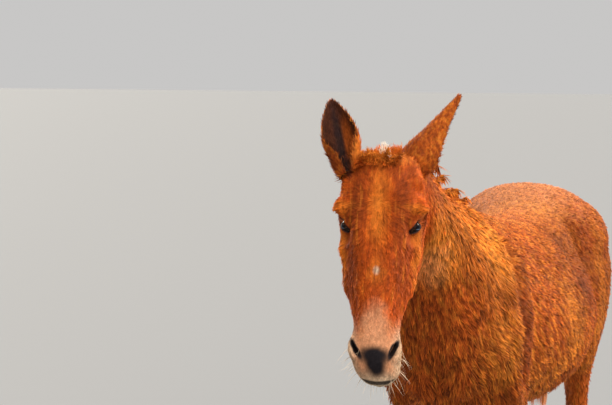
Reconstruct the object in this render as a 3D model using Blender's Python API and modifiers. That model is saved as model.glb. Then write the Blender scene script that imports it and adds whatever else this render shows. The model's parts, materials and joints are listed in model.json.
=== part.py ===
"""A standing mule at life size: head turned a little to its left, one ear up and one swung back.

The animal faces -Y, its left side is +X, and it stands on the plane Z = 0. Lengths are metres.
Flesh is lofted from named sections, fused into one form, and parted by thin cuts into head, neck,
torso and legs. Hooves, ears, eyes and tail are pieces of their own, set against it.
"""
import math
import random
from collections import namedtuple

import bmesh
import bpy
import numpy as np
from mathutils import Matrix, Vector
from mathutils.bvhtree import BVHTree

# Driving sizes of the animal
GAP = 0.0003
FLESH_VOXEL = 0.006
HEAD_TRIANGLES = 3100
BODY_TRIANGLES = 3900
SHARP_ANGLE = math.radians(50)

# The head: where the poll is, how it is held, and its own sizes down the face
POLL = Vector((-0.022, -1.108, 1.545))
HEAD_YAW = math.radians(12)
HEAD_TILT = math.radians(21)
EYE_RADIUS = 0.021
EYE_DOWN = 0.180
EYE_OUT = 0.076
EYE_BACK = -0.052

SIDES = (("left", 1), ("right", -1))
COLOURS = {
    "coat": (0.52, 0.17, 0.035, 0.85, 0.0),
    "horn": (0.05, 0.04, 0.035, 0.5, 0.0),
    "eye": (0.012, 0.008, 0.006, 0.08, 0.0),
    "ear": (0.45, 0.13, 0.03, 0.85, 0.0),
    "tail": (0.38, 0.11, 0.025, 0.7, 0.0),
}

# Trunk sections from breast to buttock: place along the body, top, bottom, half width,
# how high the widest point lies between bottom and top, and how round the back is
TrunkSection = namedtuple("TrunkSection", "y top bottom half_width widest back_power")
TRUNK = (
    TrunkSection(-0.655, 1.060, 0.890, 0.085, 0.50, 2.0),
    TrunkSection(-0.610, 1.170, 0.800, 0.150, 0.45, 2.0),
    TrunkSection(-0.500, 1.280, 0.735, 0.192, 0.42, 1.8),
    TrunkSection(-0.340, 1.325, 0.695, 0.218, 0.42, 1.5),
    TrunkSection(-0.200, 1.300, 0.675, 0.242, 0.42, 1.6),
    TrunkSection(-0.020, 1.262, 0.650, 0.280, 0.44, 1.9),
    TrunkSection(0.130, 1.252, 0.642, 0.300, 0.46, 2.1),
    TrunkSection(0.260, 1.268, 0.660, 0.288, 0.46, 2.1),
    TrunkSection(0.370, 1.305, 0.725, 0.256, 0.55, 2.2),
    TrunkSection(0.480, 1.336, 0.820, 0.258, 0.60, 2.2),
    TrunkSection(0.590, 1.302, 0.900, 0.236, 0.60, 2.2),
    TrunkSection(0.690, 1.200, 0.960, 0.150, 0.55, 2.0),
)

# Neck sections from inside the shoulders to inside the head: crest place, throat place, half width
NeckSection = namedtuple("NeckSection", "along crest_y crest_z throat_y throat_z half_width")
NECK = (
    NeckSection(0.0, -0.240, 1.270, -0.490, 0.880, 0.165),
    NeckSection(1.0, -0.420, 1.338, -0.685, 0.915, 0.178),
    NeckSection(2.0, -0.560, 1.368, -0.750, 1.020, 0.148),
    NeckSection(3.0, -0.700, 1.412, -0.805, 1.125, 0.114),
    NeckSection(4.0, -0.870, 1.482, -0.870, 1.215, 0.090),
    NeckSection(5.0, -1.020, 1.536, -0.940, 1.285, 0.080),
    NeckSection(6.0, -1.080, 1.510, -1.000, 1.330, 0.066),
)

# Leg slices from top to hoof: height, centre along the body, centre out, half length, half width
LegSlice = namedtuple("LegSlice", "z y x half_length half_width")
FORELEG = (
    LegSlice(1.200, -0.385, 0.135, 0.060, 0.045),
    LegSlice(1.100, -0.430, 0.150, 0.110, 0.058),
    LegSlice(1.000, -0.470, 0.156, 0.135, 0.064),
    LegSlice(0.910, -0.480, 0.156, 0.138, 0.066),
    LegSlice(0.820, -0.445, 0.152, 0.112, 0.060),
    LegSlice(0.730, -0.425, 0.145, 0.080, 0.052),
    LegSlice(0.630, -0.422, 0.139, 0.058, 0.043),
    LegSlice(0.530, -0.422, 0.134, 0.044, 0.036),
    LegSlice(0.455, -0.426, 0.131, 0.041, 0.037),
    LegSlice(0.405, -0.430, 0.130, 0.042, 0.042),
    LegSlice(0.355, -0.424, 0.129, 0.033, 0.032),
    LegSlice(0.290, -0.420, 0.128, 0.027, 0.023),
    LegSlice(0.220, -0.420, 0.127, 0.027, 0.022),
    LegSlice(0.175, -0.422, 0.126, 0.034, 0.030),
    LegSlice(0.135, -0.436, 0.126, 0.029, 0.026),
    LegSlice(0.095, -0.455, 0.126, 0.030, 0.028),
    LegSlice(0.065, -0.468, 0.126, 0.040, 0.036),
    LegSlice(0.030, -0.474, 0.126, 0.040, 0.036),
)
HINDLEG = (
    LegSlice(1.230, 0.500, 0.110, 0.110, 0.076),
    LegSlice(1.150, 0.520, 0.150, 0.168, 0.104),
    LegSlice(1.050, 0.528, 0.176, 0.192, 0.113),
    LegSlice(0.950, 0.522, 0.186, 0.192, 0.104),
    LegSlice(0.850, 0.500, 0.190, 0.174, 0.090),
    LegSlice(0.760, 0.508, 0.184, 0.134, 0.073),
    LegSlice(0.670, 0.550, 0.174, 0.091, 0.056),
    LegSlice(0.590, 0.605, 0.166, 0.066, 0.043),
    LegSlice(0.530, 0.640, 0.162, 0.060, 0.038),
    LegSlice(0.480, 0.645, 0.160, 0.050, 0.039),
    LegSlice(0.430, 0.640, 0.158, 0.037, 0.032),
    LegSlice(0.350, 0.638, 0.157, 0.029, 0.024),
    LegSlice(0.260, 0.636, 0.156, 0.028, 0.022),
    LegSlice(0.200, 0.634, 0.156, 0.035, 0.030),
    LegSlice(0.155, 0.618, 0.156, 0.030, 0.026),
    LegSlice(0.110, 0.596, 0.156, 0.031, 0.027),
    LegSlice(0.070, 0.580, 0.156, 0.039, 0.034),
    LegSlice(0.030, 0.574, 0.156, 0.039, 0.034),
)

# Head sections down the face from poll to lips: dorsal line, then half width and depth of the
# bridge, cheek and jaw lines, then the depth of the underside
HeadSection = namedtuple(
    "HeadSection",
    "down top bridge bridge_depth cheek cheek_depth jaw jaw_depth bottom",
)
HEAD = (
    HeadSection(-0.014, -0.034, 0.030, -0.044, 0.046, -0.080, 0.040, -0.130, -0.150),
    HeadSection(0.006, -0.008, 0.044, -0.020, 0.070, -0.066, 0.052, -0.145, -0.175),
    HeadSection(0.050, 0.006, 0.056, -0.010, 0.088, -0.062, 0.066, -0.165, -0.200),
    HeadSection(0.100, 0.015, 0.063, 0.002, 0.102, -0.052, 0.078, -0.184, -0.224),
    HeadSection(0.145, 0.016, 0.066, 0.002, 0.112, -0.054, 0.082, -0.195, -0.238),
    HeadSection(0.185, 0.014, 0.064, 0.000, 0.102, -0.080, 0.083, -0.198, -0.244),
    HeadSection(0.245, 0.009, 0.056, -0.004, 0.096, -0.086, 0.078, -0.186, -0.230),
    HeadSection(0.310, 0.006, 0.048, -0.006, 0.084, -0.076, 0.064, -0.152, -0.190),
    HeadSection(0.370, 0.004, 0.039, -0.007, 0.070, -0.064, 0.050, -0.122, -0.150),
    HeadSection(0.425, 0.001, 0.033, -0.008, 0.055, -0.054, 0.042, -0.100, -0.126),
    HeadSection(0.480, -0.001, 0.038, -0.012, 0.060, -0.046, 0.044, -0.096, -0.118),
    HeadSection(0.520, -0.008, 0.037, -0.018, 0.057, -0.052, 0.046, -0.096, -0.118),
    HeadSection(0.552, -0.028, 0.027, -0.036, 0.046, -0.062, 0.036, -0.092, -0.108),
    HeadSection(0.566, -0.050, 0.014, -0.054, 0.026, -0.068, 0.020, -0.084, -0.092),
)


def clear_scene():
    """Removes whatever the file opened with."""
    for thing in list(bpy.data.objects):
        bpy.data.objects.remove(thing)


def new_collection(name):
    """A collection linked to the scene."""
    collection = bpy.data.collections.new(name)
    bpy.context.scene.collection.children.link(collection)
    return collection


def material(name):
    """A Principled material from the colour table."""
    made = bpy.data.materials.get(name)
    if made:
        return made
    red, green, blue, roughness, metallic = COLOURS[name]
    made = bpy.data.materials.new(name)
    made.use_nodes = True
    shader = made.node_tree.nodes["Principled BSDF"]
    shader.inputs["Base Color"].default_value = (red, green, blue, 1)
    shader.inputs["Roughness"].default_value = roughness
    shader.inputs["Metallic"].default_value = metallic
    return made


def to_object(name, mesh, finish=None):
    """An object for a mesh, linked to the working collection."""
    thing = bpy.data.objects.new(name, mesh)
    WORK.objects.link(thing)
    if finish:
        mesh.materials.clear()
        mesh.materials.append(material(finish))
    return thing


def smooth_table(rows, count):
    """Rows of numbers read along a smooth curve, at even steps of their first column."""
    rows = np.array(rows, float)
    place = rows[:, 0]
    order = np.argsort(place)
    rows, place = rows[order], place[order]
    slopes = np.gradient(rows, place, axis=0)
    at = np.linspace(place[0], place[-1], count)
    low = np.clip(np.searchsorted(place, at, side="right") - 1, 0, len(place) - 2)
    span = (place[low + 1] - place[low])[:, None]
    t = ((at - place[low]) / span[:, 0])[:, None]
    return (
        (2 * t**3 - 3 * t**2 + 1) * rows[low]
        + (t**3 - 2 * t**2 + t) * span * slopes[low]
        + (3 * t**2 - 2 * t**3) * rows[low + 1]
        + (t**3 - t**2) * span * slopes[low + 1]
    )


def closed_loft(name, rings):
    """A closed tube through rings of equal count, with flat ends."""
    form = bmesh.new()
    rows = [[form.verts.new(point) for point in ring] for ring in rings]
    for near, far in zip(rows, rows[1:]):
        for i in range(len(near)):
            j = (i + 1) % len(near)
            form.faces.new((near[i], near[j], far[j], far[i]))
    form.faces.new(rows[0])
    form.faces.new(rows[-1])
    bmesh.ops.recalc_face_normals(form, faces=form.faces)
    mesh = bpy.data.meshes.new(name)
    form.to_mesh(mesh)
    form.free()
    return to_object(name, mesh)


def egg_ring(centre, side, up, half_width, above, below, upper_power=2.0, lower_power=2.0, count=28):
    """Points of an egg-shaped outline: it reaches half_width to each side, above and below."""
    points = []
    for i in range(count):
        turn = 2 * math.pi * i / count
        power = upper_power if math.sin(turn) > 0 else lower_power
        across = math.copysign(abs(math.cos(turn)) ** (2 / power), math.cos(turn))
        rise = math.copysign(abs(math.sin(turn)) ** (2 / power), math.sin(turn))
        height = above if rise > 0 else below
        points.append(centre + side * (half_width * across) + up * (height * rise))
    return points


def ellipsoid(name, centre, axes, radii, segments=20):
    """A stretched ball whose radii lie along the three axes."""
    mesh = bpy.data.meshes.new(name)
    form = bmesh.new()
    bmesh.ops.create_uvsphere(form, u_segments=segments, v_segments=segments // 2 + 1, radius=1)
    turn = Matrix([[axis[i] * radius for axis, radius in zip(axes, radii)] for i in range(3)])
    bmesh.ops.transform(form, matrix=Matrix.Translation(centre) @ turn.to_4x4(), verts=form.verts)
    if turn.determinant() < 0:
        bmesh.ops.reverse_faces(form, faces=form.faces)
    form.to_mesh(mesh)
    form.free()
    return to_object(name, mesh)


WORLD_AXES = (Vector((1, 0, 0)), Vector((0, 1, 0)), Vector((0, 0, 1)))


def head_axes():
    """Unit vectors down the face, to the animal's left, and out of the face."""
    ahead = Vector((math.sin(HEAD_YAW), -math.cos(HEAD_YAW), 0))
    left = Vector((math.cos(HEAD_YAW), math.sin(HEAD_YAW), 0))
    up = Vector((0, 0, 1))
    down = ahead * math.sin(HEAD_TILT) - up * math.cos(HEAD_TILT)
    out = ahead * math.cos(HEAD_TILT) + up * math.sin(HEAD_TILT)
    return down, left, out


def in_head(down, left, out):
    """A place given down the face, to the left and out of it."""
    axes = head_axes()
    return POLL + axes[0] * down + axes[1] * left + axes[2] * out


def trunk_form():
    """Breast, ribs, belly and croup as one loft."""
    rings = []
    for y, top, bottom, half_width, widest, back_power in smooth_table(TRUNK, 40):
        middle = bottom + (top - bottom) * widest
        rings.append(
            egg_ring(Vector((0, y, middle)), WORLD_AXES[0], WORLD_AXES[2], half_width,
                     top - middle, middle - bottom, back_power, 2.1)
        )
    return closed_loft("trunk_form", rings)


def neck_form():
    """The neck, deep at the shoulders and slim behind the jaw."""
    rings = []
    for _, crest_y, crest_z, throat_y, throat_z, half_width in smooth_table(NECK, 26):
        crest = Vector((0, crest_y, crest_z))
        throat = Vector((0, throat_y, throat_z))
        up = crest - throat
        rings.append(
            egg_ring(throat + up * 0.45, WORLD_AXES[0], up.normalized(), half_width,
                     up.length * 0.55, up.length * 0.45, 1.7, 2.3)
        )
    return closed_loft("neck_form", rings)


# The ridge that carries the mane stands this far above the crest, and is this thick
MANE_RISE = 0.016
MANE_THICKNESS = 0.015


def mane_form():
    """The low ridge along the crest from which the mane grows."""
    rings = []
    for _, crest_y, crest_z, throat_y, throat_z, _ in smooth_table(NECK[1:-1], 20):
        up = (Vector((0, crest_y, crest_z)) - Vector((0, throat_y, throat_z))).normalized()
        rings.append(
            egg_ring(Vector((0, crest_y, crest_z)), WORLD_AXES[0], up, MANE_THICKNESS,
                     MANE_RISE, MANE_RISE, 2.0, 2.0, 12)
        )
    return closed_loft("mane_form", rings)


def leg_form(name, slices, side):
    """A leg as level slices from shoulder or hip down to the hoof."""
    rings = []
    for z, y, x, half_length, half_width in smooth_table(slices, 44):
        rings.append(
            egg_ring(Vector((side * x, y, z)), WORLD_AXES[0], WORLD_AXES[1], half_width,
                     half_length, half_length, 2.0, 2.0, 20)
        )
    return closed_loft(name, rings)


def head_form():
    """The skull and muzzle as one loft down the face."""
    rings = []
    for row in smooth_table(HEAD, 40):
        section = HeadSection(*row)
        outline = [(0, section.top)]
        outline += [(section.bridge, section.bridge_depth), (section.cheek, section.cheek_depth)]
        outline += [(section.jaw, section.jaw_depth), (0, section.bottom)]
        outline += [(-x, depth) for x, depth in reversed(outline[1:4])]
        rings.append([in_head(section.down, x, depth) for x, depth in round_outline(outline, 4)])
    return closed_loft("head_form", rings)


def round_outline(points, steps):
    """A smooth closed outline through points, with the given steps between each two."""
    places = [Vector(point) for point in points]
    count = len(places)
    outline = []
    for i in range(count):
        before, start, end, after = (places[(i + k) % count] for k in (-1, 0, 1, 2))
        for step in range(steps):
            t = step / steps
            outline.append(
                0.5 * (2 * start + (end - before) * t
                       + (2 * before - 5 * start + 4 * end - after) * t**2
                       + (3 * start - before - 3 * end + after) * t**3)
            )
    return [(point.x, point.y) for point in outline]


# Bony and fleshy forms of the head, each side alike: place, then radii down, left and out
HeadForm = namedtuple("HeadForm", "name down left out reach_down reach_left reach_out")
PAIRED_HEAD_FORMS = (
    HeadForm("brow", 0.140, 0.088, -0.040, 0.042, 0.028, 0.028),
    HeadForm("cheek_arch", 0.110, 0.086, -0.080, 0.080, 0.020, 0.030),
    HeadForm("cheekbone", 0.222, 0.086, -0.064, 0.048, 0.015, 0.020),
    HeadForm("cheek_muscle", 0.190, 0.066, -0.145, 0.100, 0.032, 0.088),
    HeadForm("facial_crest", 0.285, 0.080, -0.070, 0.070, 0.012, 0.014),
    HeadForm("temple", 0.085, 0.070, -0.050, 0.055, 0.034, 0.036),
    HeadForm("ear_root", 0.030, 0.070, -0.062, 0.034, 0.026, 0.032),
    HeadForm("nostril_wing", 0.487, 0.044, -0.036, 0.034, 0.021, 0.026),
)
MIDLINE_HEAD_FORMS = (
    HeadForm("upper_lip", 0.532, 0.0, -0.056, 0.036, 0.046, 0.034),
    HeadForm("lower_lip", 0.532, 0.0, -0.102, 0.036, 0.034, 0.016),
    HeadForm("chin", 0.505, 0.0, -0.122, 0.030, 0.026, 0.016),
)


def head_details():
    """Brows, cheeks, crests, nostril wings, lips and chin as stretched balls."""
    axes = head_axes()
    made = []
    for form in PAIRED_HEAD_FORMS:
        for word, side in SIDES:
            made.append(
                ellipsoid(f"{form.name}_{word}", in_head(form.down, form.left * side, form.out), axes,
                          (form.reach_down, form.reach_left, form.reach_out))
            )
    for form in MIDLINE_HEAD_FORMS:
        made.append(
            ellipsoid(form.name, in_head(form.down, form.left, form.out), axes,
                      (form.reach_down, form.reach_left, form.reach_out))
        )
    for word, side in SIDES:
        made.append(
            ellipsoid(f"lids_{word}", eye_centre(side), axes, (EYE_RADIUS + 0.008,) * 3)
        )
    return made


def eye_centre(side):
    """The middle of an eyeball."""
    return in_head(EYE_DOWN, EYE_OUT * side, EYE_BACK)


# Muscle and bone that show on the body, each side alike: place, then radii along X, Y and Z
BodyForm = namedtuple("BodyForm", "name x y z reach_x reach_y reach_z")
BODY_FORMS = (
    BodyForm("hip_point", 0.172, 0.405, 1.195, 0.066, 0.090, 0.065),
    BodyForm("rump", 0.136, 0.515, 1.130, 0.150, 0.160, 0.155),
    BodyForm("buttock", 0.115, 0.628, 1.065, 0.105, 0.090, 0.140),
    BodyForm("shoulder_blade", 0.104, -0.395, 1.140, 0.074, 0.100, 0.130),
    BodyForm("shoulder", 0.146, -0.435, 1.010, 0.076, 0.110, 0.140),
    BodyForm("upper_arm", 0.152, -0.465, 0.925, 0.070, 0.120, 0.120),
    BodyForm("shoulder_point", 0.125, -0.585, 0.960, 0.070, 0.070, 0.110),
    BodyForm("breast", 0.055, -0.630, 0.950, 0.080, 0.062, 0.140),
    BodyForm("elbow", 0.160, -0.340, 0.790, 0.034, 0.045, 0.050),
    BodyForm("hock_point", 0.162, 0.688, 0.550, 0.020, 0.022, 0.034),
    BodyForm("fetlock_fore", 0.126, -0.394, 0.170, 0.020, 0.018, 0.024),
    BodyForm("fetlock_hind", 0.156, 0.662, 0.190, 0.020, 0.018, 0.024),
)


def body_details():
    """Hip points, buttocks, points of shoulder, elbows and hocks."""
    made = []
    for form in BODY_FORMS:
        for word, side in SIDES:
            made.append(
                ellipsoid(f"{form.name}_{word}", Vector((form.x * side, form.y, form.z)), WORLD_AXES,
                          (form.reach_x, form.reach_y, form.reach_z))
            )
    return made


# Places pressed in or swelled out sideways once the flesh is fused, each side alike: middle,
# how far the change reaches along X, Y and Z, and how deep it is
Dent = namedtuple("Dent", "name x y z reach_x reach_y reach_z depth")
DENTS = (
    Dent("flank_hollow", 0.240, 0.325, 1.110, 0.120, 0.055, 0.120, 0.052),
    Dent("elbow_hollow", 0.200, -0.310, 0.920, 0.100, 0.042, 0.110, 0.034),
    Dent("throat_groove", 0.110, -0.780, 1.180, 0.060, 0.055, 0.090, 0.016),
    Dent("shoulder_front", 0.170, -0.590, 1.120, 0.080, 0.040, 0.120, 0.018),
    Dent("temple_hollow", 0.088, -1.105, 1.445, 0.030, 0.030, 0.022, 0.009),
    Dent("loin_side", 0.200, 0.230, 1.230, 0.080, 0.120, 0.050, 0.012),
)


def dented(flesh):
    """Presses the hollows of flank, elbow, throat and shoulder into the flesh."""
    for vertex in flesh.data.vertices:
        place = vertex.co.copy()
        for dent in DENTS:
            for _, side in SIDES:
                away = Vector(((place.x - dent.x * side) / dent.reach_x,
                               (place.y - dent.y) / dent.reach_y, (place.z - dent.z) / dent.reach_z))
                vertex.co.x -= side * dent.depth * math.exp(-away.length_squared)


def mesh_of(thing):
    """The evaluated mesh of an object, in world space."""
    bpy.context.view_layer.update()
    graph = bpy.context.evaluated_depsgraph_get()
    mesh = bpy.data.meshes.new_from_object(thing.evaluated_get(graph))
    mesh.transform(thing.matrix_world)
    return mesh


def remove(things):
    """Takes objects out of the file."""
    for thing in things:
        bpy.data.objects.remove(thing)


def joined(name, things):
    """One object holding the meshes of several, which are removed."""
    form = bmesh.new()
    for thing in things:
        form.from_mesh(thing.data)
    mesh = bpy.data.meshes.new(name)
    form.to_mesh(mesh)
    form.free()
    remove(things)
    return to_object(name, mesh)


def apply_modifiers(thing):
    """Turns an object's modifiers into its mesh."""
    mesh = mesh_of(thing)
    thing.modifiers.clear()
    thing.data = mesh
    return thing


def fused_flesh():
    """Trunk, neck, head and legs as one smooth skin, finer on the head."""
    forms = [trunk_form(), neck_form(), mane_form(), head_form(), *head_details(), *body_details()]
    for word, side in SIDES:
        forms += [leg_form(f"foreleg_{word}", FORELEG, side), leg_form(f"hindleg_{word}", HINDLEG, side)]
    flesh = joined("flesh", forms)
    remesh = flesh.modifiers.new("fuse", "REMESH")
    remesh.mode = "VOXEL"
    remesh.voxel_size = FLESH_VOXEL
    apply_modifiers(flesh)
    keep_largest(flesh.data)
    weigh(flesh, "trunk", lambda head, leg: (1 - head) * (1 - 0.85 * leg))
    relaxed(flesh, 5)
    dented(flesh)
    relaxed(flesh, 100, "trunk")
    weigh(flesh, "head", lambda head, leg: round(head))
    weigh(flesh, "body", lambda head, leg: 1 - round(head))
    on_head = sum(1 for face in flesh.data.polygons if face_weight(flesh, face, "head") > 0.5)
    thinned(flesh, "body", 2 * on_head + BODY_TRIANGLES)
    thinned(flesh, "head", HEAD_TRIANGLES + BODY_TRIANGLES)
    flesh.vertex_groups.clear()
    mend(flesh.data)
    return flesh


def face_weight(thing, face, name):
    """The weight that a vertex group has at a face's first corner."""
    return thing.vertex_groups[name].weight(face.vertices[0])


def thinned(thing, group, triangles):
    """Lowers the whole mesh to a triangle count by collapsing only where a group has weight."""
    present = sum(len(face.vertices) - 2 for face in thing.data.polygons)
    decimate = thing.modifiers.new("thin", "DECIMATE")
    decimate.ratio = triangles / present
    decimate.vertex_group = group
    decimate.vertex_group_factor = 1.0
    decimate.use_collapse_triangulate = True
    apply_modifiers(thing)


def mend(mesh, turns=8):
    """Collapses the few edges that thinning left with other than two faces."""
    form = bmesh.new()
    form.from_mesh(mesh)
    for _ in range(turns):
        faulty = [edge for edge in form.edges if len(edge.link_faces) != 2]
        if not faulty:
            break
        bmesh.ops.collapse(form, edges=faulty)
        bmesh.ops.dissolve_degenerate(form, dist=0.00001, edges=form.edges)
    form.to_mesh(mesh)
    form.free()


def relaxed(thing, turns, group=""):
    """Smooths a mesh, all over or where a vertex group has weight."""
    smooth = thing.modifiers.new("blend", "SMOOTH")
    smooth.factor = 0.5
    smooth.iterations = turns
    smooth.vertex_group = group
    apply_modifiers(thing)


def region_shares(place):
    """How far a place belongs to the head, and how far to the lower legs, from 0 to 1."""
    down_axis, _, out_axis = head_axes()
    from_poll = place - POLL
    depth = min(from_poll.dot(down_axis) + 0.04, from_poll.dot(out_axis) + 0.26, -0.92 - place.y)
    return min(1.0, max(0.0, depth / 0.05)), min(1.0, max(0.0, (0.70 - place.z) / 0.15))


def weigh(flesh, name, rule):
    """A vertex group whose weights follow a rule on the shares of head and legs."""
    group = flesh.vertex_groups.new(name=name)
    for vertex in flesh.data.vertices:
        group.add([vertex.index], rule(*region_shares(vertex.co)), "REPLACE")


def surfaces(form):
    """The surfaces of a bmesh, each joined across its edges, as lists of faces."""
    left = set(form.faces)
    found = []
    while left:
        start = left.pop()
        piece, front = [start], [start]
        while front:
            for edge in front.pop().edges:
                for face in edge.link_faces:
                    if face in left:
                        left.remove(face)
                        piece.append(face)
                        front.append(face)
        found.append(piece)
    return found


def keep_largest(mesh):
    """Drops all but the largest surface of a mesh."""
    form = bmesh.new()
    form.from_mesh(mesh)
    pieces = sorted(surfaces(form), key=len)
    for piece in pieces[:-1]:
        bmesh.ops.delete(form, geom=piece, context="FACES")
    form.to_mesh(mesh)
    form.free()


def box_cutter(name, centre, axes, sizes):
    """A box for cutting, whose sizes lie along the three axes."""
    form = bmesh.new()
    bmesh.ops.create_cube(form, size=1)
    turn = Matrix([[axis[i] * size for axis, size in zip(axes, sizes)] for i in range(3)])
    bmesh.ops.transform(form, matrix=Matrix.Translation(centre) @ turn.to_4x4(), verts=form.verts)
    if turn.determinant() < 0:
        bmesh.ops.reverse_faces(form, faces=form.faces)
    mesh = bpy.data.meshes.new(name)
    form.to_mesh(mesh)
    form.free()
    cutter = to_object(name, mesh)
    cutter.hide_render = True
    cutter.display_type = "WIRE"
    return cutter


# Where the flesh is parted: middle of the cut, direction across it, and size of the plate
Cut = namedtuple("Cut", "name x y z lean wide long")
MIDLINE_CUTS = (
    Cut("neck_head_cut", 0.0, -0.975, 1.420, 70.0, 0.40, 0.50),
    Cut("neck_torso_cut", 0.0, -0.560, 1.120, -60.0, 0.60, 0.86),
)
LEG_CUTS = (
    Cut("foreleg_cut", 0.150, -0.430, 0.684, 0.0, 0.22, 0.24),
    Cut("hindleg_cut", 0.172, 0.500, 0.800, -22.0, 0.32, 0.56),
)


def leaning_axes(lean):
    """Axes of a plate whose level length is tipped about X by lean degrees."""
    angle = math.radians(lean)
    along = Vector((0, math.cos(angle), -math.sin(angle)))
    across = Vector((0, math.sin(angle), math.cos(angle)))
    return WORLD_AXES[0], along, across


def parting_cutters():
    """Thin plates between the named parts of the body."""
    cutters = []
    for cut in MIDLINE_CUTS:
        cutters.append(
            box_cutter(cut.name, Vector((cut.x, cut.y, cut.z)), leaning_axes(cut.lean),
                       (cut.wide, cut.long, GAP))
        )
    for cut in LEG_CUTS:
        for word, side in SIDES:
            cutters.append(
                box_cutter(f"{cut.name}_{word}", Vector((cut.x * side, cut.y, cut.z)),
                           leaning_axes(cut.lean), (cut.wide, cut.long, GAP))
            )
    return cutters


# Hooves: middle of the sole, its half length and half width, and the height of the coronet
Hoof = namedtuple("Hoof", "name y x half_length half_width coronet_y coronet_z")
HOOVES = (
    Hoof("fore", -0.492, 0.127, 0.058, 0.047, -0.468, 0.066),
    Hoof("hind", 0.556, 0.157, 0.057, 0.044, 0.580, 0.068),
)
CORONET_LEAN = 16.0
CORONET_SHARE = 0.80
# The block that clears the flesh below a coronet: across, along the body, and down
HOOF_CLEARANCE = (0.16, 0.22, 0.16)


def coronet_axes():
    """Axes of the coronet's plane, which is higher in front than at the heel."""
    return leaning_axes(CORONET_LEAN)


def hoof_cutters():
    """Blocks that clear the flesh from below each coronet."""
    cutters = []
    for hoof in HOOVES:
        axes = coronet_axes()
        for word, side in SIDES:
            coronet = Vector((hoof.x * side, hoof.coronet_y, hoof.coronet_z))
            middle = coronet + axes[2] * (GAP - HOOF_CLEARANCE[2] / 2)
            cutters.append(box_cutter(f"hoof_clear_{hoof.name}_{word}", middle, axes, HOOF_CLEARANCE))
    return cutters


def cut_by(thing, cutters, operation="DIFFERENCE"):
    """Applies one Boolean by a collection of cutters, and removes them."""
    tools = bpy.data.collections.new("cutters")
    bpy.context.scene.collection.children.link(tools)
    for cutter in cutters:
        tools.objects.link(cutter)
        WORK.objects.unlink(cutter)
    boolean = thing.modifiers.new("cut", "BOOLEAN")
    boolean.operation = operation
    boolean.operand_type = "COLLECTION"
    boolean.collection = tools
    boolean.solver = "EXACT"
    apply_modifiers(thing)
    remove(cutters)
    bpy.data.collections.remove(tools)
    return thing


# A place inside each part of the flesh, by which the parted pieces get their names
PART_PLACES = {
    "head": (0.0, -1.13, 1.36),
    "neck": (0.0, -0.80, 1.30),
    "torso": (0.0, 0.05, 1.00),
    "foreleg_left": (0.13, -0.43, 0.45),
    "foreleg_right": (-0.13, -0.43, 0.45),
    "hindleg_left": (0.16, 0.63, 0.50),
    "hindleg_right": (-0.16, 0.63, 0.50),
}


def part_flesh(flesh):
    """Parts the fused flesh by its thin cuts and names each piece by where it lies."""
    cut_by(flesh, parting_cutters() + hoof_cutters())
    form = bmesh.new()
    form.from_mesh(flesh.data)
    best = {}
    for piece in surfaces(form):
        middle = sum((face.calc_center_median() for face in piece), Vector()) / len(piece)
        name = min(PART_PLACES, key=lambda key: (Vector(PART_PLACES[key]) - middle).length)
        if name not in best or len(piece) > len(best[name]):
            best[name] = piece
    parts = {}
    for name, piece in best.items():
        kept = bmesh.new()
        twin = {}
        for face in piece:
            for vertex in face.verts:
                if vertex not in twin:
                    twin[vertex] = kept.verts.new(vertex.co)
            kept.faces.new([twin[vertex] for vertex in face.verts])
        mesh = bpy.data.meshes.new(name)
        kept.to_mesh(mesh)
        kept.free()
        parts[name] = to_object(name, mesh, "coat")
    form.free()
    remove([flesh])
    return parts


def offset_copy(thing, distance):
    """A copy of an object with its surface moved outwards, for cutting."""
    copy = to_object(f"{thing.name}_offset", thing.data.copy())
    copy.hide_render = True
    push = copy.modifiers.new("push", "DISPLACE")
    push.strength = distance
    push.mid_level = 0
    return apply_modifiers(copy)


# The opening between the lids: half its length and half its height, and how thick the lids are
LID_OPENING = (0.0230, 0.0130)
LID_THICKNESS = 0.011
# The way an eye looks, and the way its lid opening runs, as shares of down, outwards and ahead
GAZE = (0.08, 0.80, 0.58)
LID_SLANT = (0.80, -0.30, 0.52)


def beside(shares, side):
    """A unit direction given as shares of down the face, outwards to one side, and ahead."""
    down, left, out = head_axes()
    return (down * shares[0] + left * (shares[1] * side) + out * shares[2]).normalized()


def across_to(direction, normal):
    """A unit direction with what it has along a normal taken away."""
    return (direction - normal * direction.dot(normal)).normalized()


def make_eyes(head):
    """Sockets and lid openings in the head, and an eyeball in each."""
    cutters = []
    for word, side in SIDES:
        centre = eye_centre(side)
        cutters.append(ball(f"socket_{word}", centre, EYE_RADIUS + GAP))
        gaze = beside(GAZE, side)
        slit = across_to(beside(LID_SLANT, side), gaze)
        cutters.append(
            ellipsoid(f"opening_{word}", centre + gaze * (EYE_RADIUS + LID_THICKNESS),
                      (slit, gaze.cross(slit), gaze), (*LID_OPENING, 2 * LID_THICKNESS), 14)
        )
    cut_by(head, cutters)
    return [ball(f"eye_{word}", eye_centre(side), EYE_RADIUS, "eye") for word, side in SIDES]


# Nostrils: middle of the slit, half its length and width, and how deep it goes
NOSTRIL_PLACE = (0.488, 0.046, -0.020)
NOSTRIL_SIZES = (0.0240, 0.0070, 0.032)
# The way the slit runs and the way it opens, as shares of down, outwards and ahead
NOSTRIL_SLANT = (0.86, -0.50, 0.0)
NOSTRIL_OPENS = (0.15, 0.60, 0.75)


def nostril_cutters():
    """Slanting slits that widen into the muzzle."""
    cutters = []
    for word, side in SIDES:
        place = in_head(NOSTRIL_PLACE[0], NOSTRIL_PLACE[1] * side, NOSTRIL_PLACE[2])
        slit = beside(NOSTRIL_SLANT, side)
        inwards = across_to(beside(NOSTRIL_OPENS, side), slit)
        cutters.append(
            ellipsoid(f"nostril_{word}", place, (slit, inwards.cross(slit), inwards), NOSTRIL_SIZES, 12)
        )
    return cutters


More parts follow.
